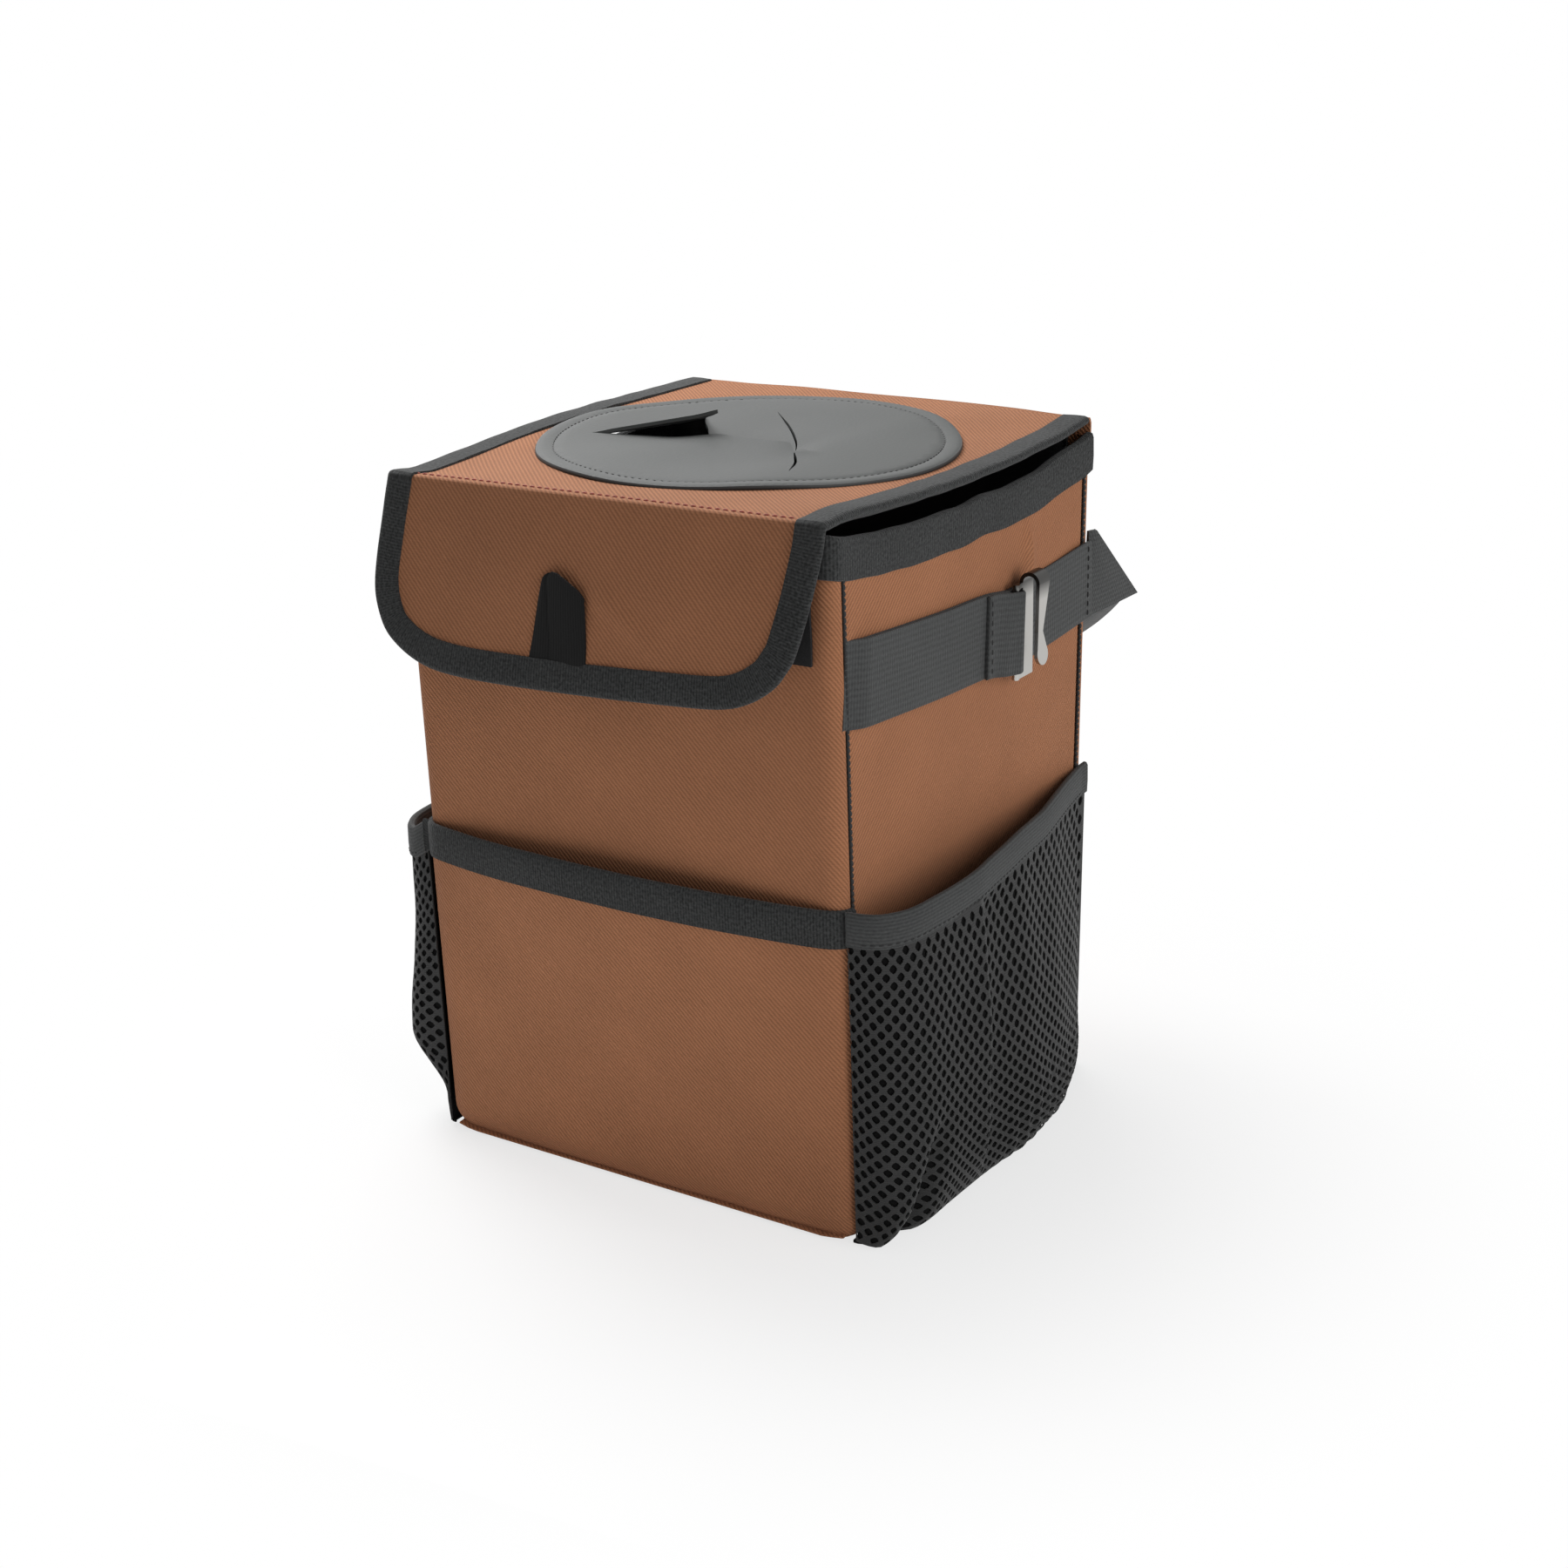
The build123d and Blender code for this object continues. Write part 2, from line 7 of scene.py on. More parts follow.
import bmesh
import bpy
import numpy as np
from bpy.props import FloatProperty, FloatVectorProperty, PointerProperty
from mathutils import Matrix, Vector, noise
from mathutils.geometry import delaunay_2d_cdt
from mathutils.kdtree import KDTree


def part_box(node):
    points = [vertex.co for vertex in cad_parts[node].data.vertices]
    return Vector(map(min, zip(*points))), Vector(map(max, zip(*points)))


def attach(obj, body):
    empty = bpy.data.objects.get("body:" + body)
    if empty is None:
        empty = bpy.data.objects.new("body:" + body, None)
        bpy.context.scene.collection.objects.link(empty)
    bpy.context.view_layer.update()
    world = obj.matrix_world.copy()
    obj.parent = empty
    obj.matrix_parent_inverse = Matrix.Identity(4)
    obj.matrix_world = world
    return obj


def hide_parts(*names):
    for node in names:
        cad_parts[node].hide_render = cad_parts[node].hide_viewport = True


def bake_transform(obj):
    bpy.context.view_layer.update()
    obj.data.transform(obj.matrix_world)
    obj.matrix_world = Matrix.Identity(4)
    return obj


bl_info = {
    "name": "Car trash bin",
    "version": (1, 0, 0),
    "blender": (4, 5, 0),
    "location": "View3D > Sidebar > Trash bin",
    "description": "Builds the sewn pieces, materials and stage of a car trash bin over its CAD frame",
    "category": "Object",
}

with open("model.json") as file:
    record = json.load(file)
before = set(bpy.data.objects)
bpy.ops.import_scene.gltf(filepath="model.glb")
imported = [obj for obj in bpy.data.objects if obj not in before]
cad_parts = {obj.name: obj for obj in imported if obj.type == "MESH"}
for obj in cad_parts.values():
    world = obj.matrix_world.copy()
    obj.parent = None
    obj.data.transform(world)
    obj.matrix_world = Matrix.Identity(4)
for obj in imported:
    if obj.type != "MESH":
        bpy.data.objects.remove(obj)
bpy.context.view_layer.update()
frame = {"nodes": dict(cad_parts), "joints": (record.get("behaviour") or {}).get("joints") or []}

MM = 0.001


def low(node, axis):
    """Lowest place of a CAD node along an axis, in millimetres."""
    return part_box(node)[0][axis] / MM


def high(node, axis):
    """Highest place of a CAD node along an axis, in millimetres."""
    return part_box(node)[1][axis] / MM


def hinge(name):
    """Place of a CAD joint, in millimetres."""
    found = next(joint for joint in frame["joints"] if joint["name"] == name)
    return Vector(found["pos_m"]) / MM


# Sizes that the CAD frame sets, in millimetres.
HALF_WIDTH = high("front_panel", 0)
WALL_TOP = high("front_panel", 2)
RIM_HALF = high("back_panel", 1)
CANVAS = low("base_board", 2)
BASE_HALF = high("base_panel", 1) + CANVAS
BASE_CORNER = high("base_panel", 2)
TUB_FLOOR = low("lining_tub", 2)
LID_TOP = low("opening_disc", 2)
LID_STACK = LID_TOP - low("lid_lining", 2)
LID_AXIS = hinge("lid_hinge")
FLAP_AXIS = hinge("flap_hinge")
FOLD = LID_TOP - FLAP_AXIS.z
POCKET_TOP = high("front_pocket", 2)
TAPE_LOW = low("front_pocket_binding", 2)
TAPE_TOP = high("front_pocket_binding", 2)
DISC_RADIUS = high("opening_disc", 0)
CLIP = hinge("right_clip_swivel")
STRAP_LOW = low("back_strap", 2)
STRAP_END = high("back_strap", 1)
RIM_TOP = high("rim_binding", 2)
MIDDLE = Vector((0, 0, WALL_TOP / 2))
UP = Vector((0, 0, 1))


class BinSizes(bpy.types.PropertyGroup):
    """Sizes of the sewn pieces that the CAD frame doesn't set."""

    flap_tilt: FloatProperty(
        name="Flap tilt", description="Angle at which the flap hangs off the front",
        default=math.radians(12), subtype="ANGLE")
    tape_width: FloatProperty(
        name="Tape width", description="Width of the tape that shows round the lid and flap",
        default=0.0106, unit="LENGTH")
    rim_dip: FloatProperty(
        name="Rim dip", description="Sinking of the side walls' upper edge between the corners",
        default=0.0076, unit="LENGTH")
    pocket_bow: FloatProperty(
        name="Pocket bow", description="How far the front pocket's mouth stands out",
        default=0.006, unit="LENGTH")
    twill_pitch: FloatProperty(
        name="Twill pitch", description="Distance between the canvas's diagonal ribs",
        default=0.0014, unit="LENGTH")
    rib_pitch: FloatProperty(
        name="Rib pitch", description="Distance between the ribs of the binding tape",
        default=0.0011, unit="LENGTH")
    net_width: FloatProperty(
        name="Net width", description="Width of one cell of the pocket's mesh",
        default=0.0061, unit="LENGTH")
    net_height: FloatProperty(
        name="Net height", description="Height of one row of cells in the pocket's mesh",
        default=0.00285, unit="LENGTH")


def linear(code):
    """An sRGB hex code as a linear colour."""
    parts = [int(code[i:i + 2], 16) / 255 for i in (1, 3, 5)]
    return [c / 12.92 if c <= 0.04045 else ((c + 0.055) / 1.055) ** 2.4 for c in parts]


class BinColours(bpy.types.PropertyGroup):
    """Colours of the materials."""

    canvas: FloatVectorProperty(
        name="Canvas", description="Brown polyester canvas", default=linear("#9B694B"), subtype="COLOR")
    tape: FloatVectorProperty(
        name="Tape", description="Black binding tape", default=linear("#363737"), subtype="COLOR")
    ribbon: FloatVectorProperty(
        name="Ribbon", description="Deep black ribbon of the pull tab", default=linear("#101010"), subtype="COLOR")
    webbing: FloatVectorProperty(
        name="Webbing", description="Charcoal webbing", default=linear("#404141"), subtype="COLOR")
    mesh: FloatVectorProperty(
        name="Mesh", description="Black spacer mesh", default=linear("#353535"), subtype="COLOR")
    leather: FloatVectorProperty(
        name="Leather", description="Grey synthetic leather", default=linear("#373938"), subtype="COLOR")
    film: FloatVectorProperty(
        name="Film", description="Black waterproof film", default=linear("#161617"), subtype="COLOR")
    crease_thread: FloatVectorProperty(
        name="Crease thread", description="Red-brown sewing thread", default=linear("#8E3E30"), subtype="COLOR")


def sizes():
    """The sewn pieces' sizes."""
    return bpy.context.scene.bin_sizes


def mm(name):
    """One of the sewn pieces' sizes, in millimetres."""
    return getattr(sizes(), name) / MM


# Lines and surfaces

def smooth(start, end, value):
    """Share from 0 to 1 as a value goes from start to end, with soft ends."""
    t = min(max((value - start) / (end - start), 0.0), 1.0)
    return t * t * (3 - 2 * t)


def angles(start, end, step):
    """Angles in radians, from degrees a step apart."""
    return [math.radians(d) for d in range(start, end, step)]


def ripple(x, y, z, reach, depth):
    """Unevenness of cloth: noise of a reach and depth in millimetres."""
    return depth * noise.noise(Vector((x, y, z)) / reach)


def lengths(points):
    """Length of a line up to each of its points."""
    total = [0.0]
    for a, b in zip(points, points[1:]):
        total.append(total[-1] + (b - a).length)
    return total


def at_length(points, total, place):
    """Point at a length along a line."""
    i = min(max(bisect(total, place), 1), len(points) - 1)
    span = total[i] - total[i - 1]
    return points[i - 1].lerp(points[i], (place - total[i - 1]) / span if span else 0.0)


def spread(points, step):
    """The same line, as points an even step apart."""
    total = lengths(points)
    count = max(2, round(total[-1] / step) + 1)
    return [at_length(points, total, total[-1] * i / (count - 1)) for i in range(count)]


def curve_through(points, step):
    """Points a step apart along a smooth curve through the given ones."""
    points = [Vector(p) for p in points]
    ends = [2 * points[0] - points[1], *points, 2 * points[-1] - points[-2]]
    parts = 12
    dense = []
    for a, b, c, d in zip(ends, ends[1:], ends[2:], ends[3:]):
        for i in range(parts):
            t = i / parts
            slope, bend, twist = c - a, 2 * a - 5 * b + 4 * c - d, 3 * b - a - 3 * c + d
            dense.append(0.5 * (2 * b + slope * t + bend * t * t + twist * t ** 3))
    dense.append(points[-1])
    return spread(dense, step)


def reading(line, place):
    """Height of a line, given by points in rising order, above a place."""
    i = min(max(bisect([p[0] for p in line], place), 1), len(line) - 1)
    a, b = line[i - 1], line[i]
    return a[1] + (b[1] - a[1]) * (place - a[0]) / (b[0] - a[0])


def wall(z):
    """Half depth of the bin at a height."""
    return BASE_HALF + (RIM_HALF - BASE_HALF) * z / WALL_TOP


def dip(y):
    """Share of the full dip of the rim at a place along a side wall."""
    return 1 - min(abs(y) / RIM_HALF, 1.0) ** 2.6


# Meshes

def piece(name, points, faces, flat, material, body=None, thick=0.0, sharp=50.0):
    """A mesh from points in millimetres, with its weave laid by flat places, that rides a body."""
    mesh = bpy.data.meshes.new(name)
    mesh.from_pydata([Vector(p) * MM for p in points], [], faces)
    layer = mesh.uv_layers.new(name="UVMap")
    for loop in mesh.loops:
        u, v = flat[loop.vertex_index]
        layer.data[loop.index].uv = (u * MM, v * MM)
    mesh.materials.append(bpy.data.materials[material])
    obj = bpy.data.objects.new(name, mesh)
    bpy.context.scene.collection.objects.link(obj)
    if thick:
        solid = obj.modifiers.new("Thickness", "SOLIDIFY")
        solid.thickness = thick * MM
        solid.offset = -1
        shaped = obj.evaluated_get(bpy.context.evaluated_depsgraph_get())
        obj.data = bpy.data.meshes.new_from_object(shaped)
        obj.data.name = name
        obj.modifiers.clear()
    obj.data.polygons.foreach_set("use_smooth", [True] * len(obj.data.polygons))
    obj.data.set_sharp_from_angle(angle=math.radians(sharp))
    if body:
        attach(obj, body)
    return obj


def facing(points, faces, centre, inward=False):
    """The faces, turned to look away from a centre, or towards it."""
    total = 0.0
    for face in faces:
        a, b, c = (Vector(points[i]) for i in face[:3])
        total += (b - a).cross(c - a).dot(a - centre)
    return [face[::-1] for face in faces] if (total < 0) != inward else faces


def grid_faces(rows, columns, start=0):
    """Faces between rows of points."""
    return [(i, i + 1, i + columns + 1, i + columns)
            for r in range(rows - 1) for i in range(start + r * columns, start + (r + 1) * columns - 1)]


def cloth(name, grid, material, body, thick, centre=MIDDLE, inward=False):
    """A sheet through rows of points."""
    rows, columns = len(grid), len(grid[0])
    middle = lengths([row[columns // 2] for row in grid])
    flat = []
    for v, row in zip(middle, grid):
        across = lengths(row)
        flat += [(u - across[columns // 2], v) for u in across]
    points = [p for row in grid for p in row]
    faces = facing(points, grid_faces(rows, columns), Vector(centre), inward)
    return piece(name, points, faces, flat, material, body, thick)


def sweep(name, centres, sides, ups, profile, material, body=None, weld=False):
    """A tape along a line: a closed profile of (side, up) places, set at each point of the line."""
    around = lengths([Vector(p) for p in [*profile, profile[0]]])
    along = lengths(centres)
    points, flat = [], []
    for i, (centre, side, up) in enumerate(zip(centres, sides, ups)):
        for (s, u), v in zip([*profile, profile[0]], around):
            points.append(centre + side * s + up * u)
            flat.append((along[i], v))
    count = len(profile) + 1
    faces = grid_faces(len(centres), count)
    last = len(points) - count
    faces += [tuple(range(count - 1))[::-1], tuple(range(last, last + count - 1))]
    obj = piece(name, points, faces, flat, material)
    mesh = obj.data
    shape = bmesh.new()
    shape.from_mesh(mesh)
    if weld:
        bmesh.ops.remove_doubles(shape, verts=shape.verts, dist=1e-7)
    bmesh.ops.recalc_face_normals(shape, faces=shape.faces)
    shape.to_mesh(mesh)
    shape.free()
    if sum(p.center.dot(p.normal) * p.area for p in mesh.polygons) < 0:
        mesh.flip_normals()
    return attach(obj, body) if body else obj


def tangents(points):
    """Direction of a line at each of its points."""
    ends = [points[0], *points, points[-1]]
    return [(c - a).normalized() for a, c in zip(ends, ends[2:])]


def stitches(name, line, ups, material, body, length=2.6, gap=0.9, radius=0.3):
    """A row of stitches along a line: short threads that sink in at both ends."""
    total = lengths(line)
    count = max(1, round(total[-1] / (length + gap)))
    points, faces, flat = [], [], []
    # Rings round a thread: share of its length, width and lift in radii.
    shape = [(-0.5, 0.35, -1.2), (-0.3, 0.9, 0.1), (0.0, 1.0, 0.4), (0.3, 0.9, 0.1), (0.5, 0.35, -1.2)]
    sides = 6
    flatten = 1.3
    for n in range(count):
        place = (n + 0.5) * total[-1] / count
        here, before, after = (at_length(line, total, place + d) for d in (0, -0.5, 0.5))
        run = (after - before).normalized()
        up = Vector(ups[min(bisect(total, place), len(ups) - 1)])
        side = run.cross(up).normalized()
        start = len(points)
        for share, wide, lift in shape:
            for k in range(sides):
                turn = math.tau * k / sides
                off = side * math.cos(turn) * flatten + up * math.sin(turn)
                points.append(here + run * share * length + (off * wide + up * lift) * radius)
                flat.append((share * length, k * 0.3))
        first = range(start, start + sides)
        last = range(len(points) - sides, len(points))
        for ring in range(start, last[0], sides):
            faces += [(ring + k, ring + (k + 1) % sides, ring + sides + (k + 1) % sides, ring + sides + k)
                      for k in range(sides)]
        faces += [tuple(first)[::-1], tuple(last)]
    return piece(name, points, faces, flat, material, body, sharp=80)


def inside(points, loop):
    """Whether each flat point lies within a closed loop, by crossings."""
    points = np.asarray(points, float)
    result = np.zeros(len(points), bool)
    for (ax, ay), (bx, by) in zip(loop, [*loop[1:], loop[0]]):
        if ay != by:
            crosses = (ay > points[:, 1]) != (by > points[:, 1])
            result ^= crosses & (points[:, 0] < ax + (points[:, 1] - ay) / (by - ay) * (bx - ax))
    return result


LATTICE = 0.866      # distance of the rows in a lattice of even triangles, over that of the points


def cut(outline, step, holes=(), extra=()):
    """A flat pattern: points and triangles within an outline and outside its holes."""
    loops = [[tuple(p) for p in loop] for loop in (outline, *holes)]
    points = [p for loop in loops for p in loop]
    edges, start = [], 0
    for loop in loops:
        edges += [(start + i, start + (i + 1) % len(loop)) for i in range(len(loop))]
        start += len(loop)
    near = KDTree(len(points) + len(extra))
    for i, p in enumerate([*points, *extra]):
        near.insert((p[0], p[1], 0), i)
    near.balance()
    xs, ys = [p[0] for p in loops[0]], [p[1] for p in loops[0]]
    rows = int((max(ys) - min(ys)) / (step * LATTICE)) + 1
    columns = int((max(xs) - min(xs)) / step) + 1
    filling = [(min(xs) + (c + 0.5 * (r % 2)) * step, min(ys) + r * step * LATTICE)
               for r in range(rows) for c in range(columns)]
    clear = [p for p in filling if near.find((p[0], p[1], 0))[2] > 0.5 * step]
    found = delaunay_2d_cdt([Vector(p) for p in [*points, *extra, *clear]], edges, [], 0, 1e-5)
    places, triangles = found[0], found[2]
    middles = [sum((places[i] for i in t), Vector((0, 0))) / 3 for t in triangles]
    keep = inside(middles, loops[0])
    for hole in loops[1:]:
        keep &= ~inside(middles, hole)
    return places, [tuple(t) for t, kept in zip(triangles, keep) if kept]


# Materials

def add(tree, kind, inputs=None, **settings):
    """Adds a node with its settings, and sets or links its inputs."""
    node = tree.nodes.new(kind)
    for key, value in settings.items():
        setattr(node, key, value)
    for key, value in (inputs or {}).items():
        if isinstance(value, bpy.types.NodeSocket):
            tree.links.new(value, node.inputs[key])
        else:
            node.inputs[key].default_value = value
    return node


SLUB_SCALE = 900.0   # uneven yarn, about 1.1 mm long
DYE_SCALE = 30.0     # uneven dyeing, in clouds about 33 mm wide


def woven(name, colour, shades, bands, depth, roughness, sheen=0.0, fuzz=0.6):
    """A cloth whose ribs are bands of (direction, pitch in metres, share), with uneven yarn and dyeing.

    Its colour runs between two shades with the height of the weave, whose depth is in metres."""
    material = bpy.data.materials.new(name)
    material.use_nodes = True
    tree = material.node_tree
    tree.nodes.clear()
    place = add(tree, "ShaderNodeTexCoord").outputs["UV"]
    height = 0.0
    for direction, pitch, share in bands:
        period = math.tau / (10 * math.sqrt(2) if direction == "DIAGONAL" else 20)
        band = add(tree, "ShaderNodeTexWave", {
            "Vector": place, "Scale": period / pitch, "Distortion": 0.8, "Detail": 1.0, "Detail Scale": 2.0,
        }, bands_direction=direction).outputs["Fac"]
        height = add(tree, "ShaderNodeMath", {0: band, 1: share, 2: height}, operation="MULTIPLY_ADD").outputs[0]
    slub = add(tree, "ShaderNodeTexNoise", {"Vector": place, "Scale": SLUB_SCALE, "Detail": 2.0}).outputs["Fac"]
    slub = add(tree, "ShaderNodeMath", {0: slub, 1: 0.5}, operation="SUBTRACT").outputs[0]
    height = add(tree, "ShaderNodeMath", {0: slub, 1: fuzz, 2: height}, operation="MULTIPLY_ADD").outputs[0]
    dye = add(tree, "ShaderNodeTexNoise", {"Vector": place, "Scale": DYE_SCALE, "Detail": 3.0}).outputs["Fac"]
    tone = add(tree, "ShaderNodeMath", {0: dye, 1: 0.5, 2: height}, operation="MULTIPLY_ADD").outputs[0]
    share = add(tree, "ShaderNodeMapRange", {"Value": tone, "From Min": 0.0, "From Max": 1.3}).outputs["Result"]
    dark = [c * shades[0] for c in colour] + [1.0]
    light = [min(c * shades[1], 1.0) for c in colour] + [1.0]
    hue = add(tree, "ShaderNodeMix", {0: share, 6: dark, 7: light}, data_type="RGBA").outputs[2]
    bump = add(tree, "ShaderNodeBump", {"Height": height, "Strength": 0.6, "Distance": depth}).outputs["Normal"]
    shader = add(tree, "ShaderNodeBsdfPrincipled", {
        "Base Color": hue, "Roughness": roughness, "Normal": bump, "Sheen Weight": sheen, "Specular IOR Level": 0.15,
    })
    add(tree, "ShaderNodeOutputMaterial", {"Surface": shader.outputs["BSDF"]})


PAINTED_REFLECTION_SHARE = 0.12      # share of a metal's colour left where a painted reflection of dark webbing darkens it


def solid(name, colour, roughness, grain, depth, metallic=0.0, bend=None):
    """A material with a fine grain, given by its size and depth in metres.

    It may darken between two shares of its height, given by bend, in a painted reflection."""
    material = bpy.data.materials.new(name)
    material.use_nodes = True
    tree = material.node_tree
    tree.nodes.clear()
    place = add(tree, "ShaderNodeTexCoord").outputs["Object"]
    cells = add(tree, "ShaderNodeTexVoronoi", {"Vector": place, "Scale": 1 / grain}, feature="F1").outputs["Distance"]
    speck = add(tree, "ShaderNodeTexNoise", {"Vector": place, "Scale": 2 / grain, "Detail": 3.0}).outputs["Fac"]
    height = add(tree, "ShaderNodeMath", {0: speck, 1: 0.6, 2: cells}, operation="MULTIPLY_ADD").outputs[0]
    bump = add(tree, "ShaderNodeBump", {"Height": height, "Strength": 0.5, "Distance": depth}).outputs["Normal"]
    hue = [*colour, 1.0]
    # Painted reflection: the colour darkens towards the top of the piece, in place of dark webbing that the metal would
    # mirror.
    if bend:
        box = add(tree, "ShaderNodeTexCoord").outputs["Generated"]
        level = add(tree, "ShaderNodeSeparateXYZ", {0: box}).outputs["Z"]
        share = add(tree, "ShaderNodeMapRange", {
            "Value": level, "From Min": bend[0], "From Max": bend[1],
        }).outputs["Result"]
        dark = [*(c * PAINTED_REFLECTION_SHARE for c in colour), 1.0]
        hue = add(tree, "ShaderNodeMix", {0: share, 6: hue, 7: dark}, data_type="RGBA").outputs[2]
    shader = add(tree, "ShaderNodeBsdfPrincipled", {
        "Base Color": hue, "Roughness": roughness, "Metallic": metallic, "Normal": bump,
    })
    add(tree, "ShaderNodeOutputMaterial", {"Surface": shader.outputs["BSDF"]})


class BIN_OT_materials(bpy.types.Operator):
    """Make the procedural materials"""

    bl_idname = "trash_bin.materials"
    bl_label = "Materials"

    def execute(self, context):
        look, size = context.scene.bin_colours, sizes()
        # Distances in metres between the elastic's lines, the webbing's ribs and lines, and the mesh's strands.
        elastic_line, web_rib, web_line, strand = 0.0013, 0.0012, 0.0021, 0.0008
        # Polyester canvas: a matt brown twill whose fine diagonal ribs catch the light.
        woven("polyester_canvas", look.canvas, shades=(0.62, 1.34),
              bands=[("DIAGONAL", size.twill_pitch, 0.8), ("Y", size.twill_pitch * 0.6, 0.15)],
              depth=0.00036, roughness=0.85, sheen=0.03, fuzz=0.45)
        # Grosgrain binding tape: black, cross-ribbed and slightly fuzzy.
        woven("grosgrain_tape", look.tape, shades=(0.35, 1.75), bands=[("X", size.rib_pitch, 0.45)],
              depth=0.0003, roughness=0.9, sheen=0.12, fuzz=2.2)
        # Polyester ribbon: a deeper black than the binding, with the same cross ribs.
        woven("polyester_ribbon", look.ribbon, shades=(0.75, 1.25), bands=[("X", size.rib_pitch, 0.6)],
              depth=0.00018, roughness=0.8, sheen=0.05)
        # Folded elastic tape: black, with fine lines along its length.
        woven("folded_elastic", look.webbing, shades=(0.7, 1.5), bands=[("Y", elastic_line, 0.6)],
              depth=0.0002, roughness=0.85, sheen=0.1, fuzz=1.4)
        # Polypropylene webbing: charcoal, with close ribs and a dull shine.
        woven("polypropylene_webbing", look.webbing, shades=(0.55, 1.4),
              bands=[("X", web_rib, 0.45), ("Y", web_line, 0.4)], depth=0.0003, roughness=0.62, sheen=0.05, fuzz=1.0)
        # Knitted spacer mesh: black yarn that shines a little on its rounded edges.
        woven("knitted_spacer_mesh", look.mesh, shades=(0.7, 1.3), bands=[("Y", strand, 0.5)],
              depth=0.00012, roughness=0.7, sheen=0.1)
        # Inner face of the spacer mesh: matt black, and made near black as painted shade, so that the holes over it
        # read as dark as the shade inside the pocket.
        woven("mesh_backing", linear("#060606"), shades=(0.8, 1.2), bands=[("Y", strand, 0.5)],
              depth=0.00012, roughness=0.95)
        # Waterproof film: black, smooth and faintly glossy.
        solid("waterproof_film", look.film, roughness=0.5, grain=0.004, depth=0.00005)
        # Synthetic leather: grey, with a fine pebble grain and a soft sheen.
        solid("synthetic_leather", look.leather, roughness=0.72, grain=0.0012, depth=0.00008)
        # Edge paint: black lacquer that seals the cut edge of the leather.
        solid("edge_paint", linear("#0E0E0E"), roughness=0.6, grain=0.002, depth=0.00003)
        # Nickel plate: a bright warm grey metal with soft reflections, and a painted reflection that darkens the top of
        # each clip as if it mirrored the dark webbing.
        solid("nickel_plate", linear("#B4B2AE"), roughness=0.28, grain=0.02, depth=0.00001, metallic=1.0,
              bend=(0.74, 0.9))
        # Hook and loop tape: black and rough, with a nap that scatters the light.
        solid("hook_and_loop_tape", linear("#0D0D0E"), roughness=0.95, grain=0.0007, depth=0.0003)
        # Polyethylene board: a dark stiff sheet with a smooth face.
        solid("polyethylene_board", linear("#2A2A2A"), roughness=0.5, grain=0.01, depth=0.00003)
        # Sewing thread: fine twisted strands, one black and one red-brown.
        solid("black_thread", linear("#141414"), roughness=0.8, grain=0.0006, depth=0.0001)
        solid("red_brown_thread", look.crease_thread, roughness=0.7, grain=0.0006, depth=0.0001)
        for name, node in frame["nodes"].items():
            node.data.materials.clear()
            metal = name.endswith("clip")
            node.data.materials.append(bpy.data.materials["nickel_plate" if metal else "polyethylene_board"])
        return {"FINISHED"}


# Body

ROLL = 7.5           # width of the walls' rolled edges
ROLL_DEPTH = 5.0     # how far back they turn
FOOT_LOSS = 0.6      # share of that depth which the foot lacks
SQUARE_CORNER = 0.5  # share by which the roll reaches further at the squarer right lower corner
SEAM = 6.0           # distance of the corner seam behind a front or back wall
SEAM_TUCK = 1.3      # depth of the groove at a seam
WELT = 1.8           # height at which the walls end over the base
# Section of the welt between a wall and the base, as (depth behind the wall, height) places.
WELT_SECTION = [(14, 0.45), (8, 0.45), (3, 0.45), (0.4, 0.45), (-1.0, 0.5), (-1.7, 0.8), (-1.4, 1.2), (0.4, 1.3),
                (2.4, 1.6)]
CREASE = 39.0        # place along the side walls of a crease above the bands
TUB_GAP = 2.9        # distance of the lining inside the walls
TUB_POWER = 0.16     # squareness of the lining's plan


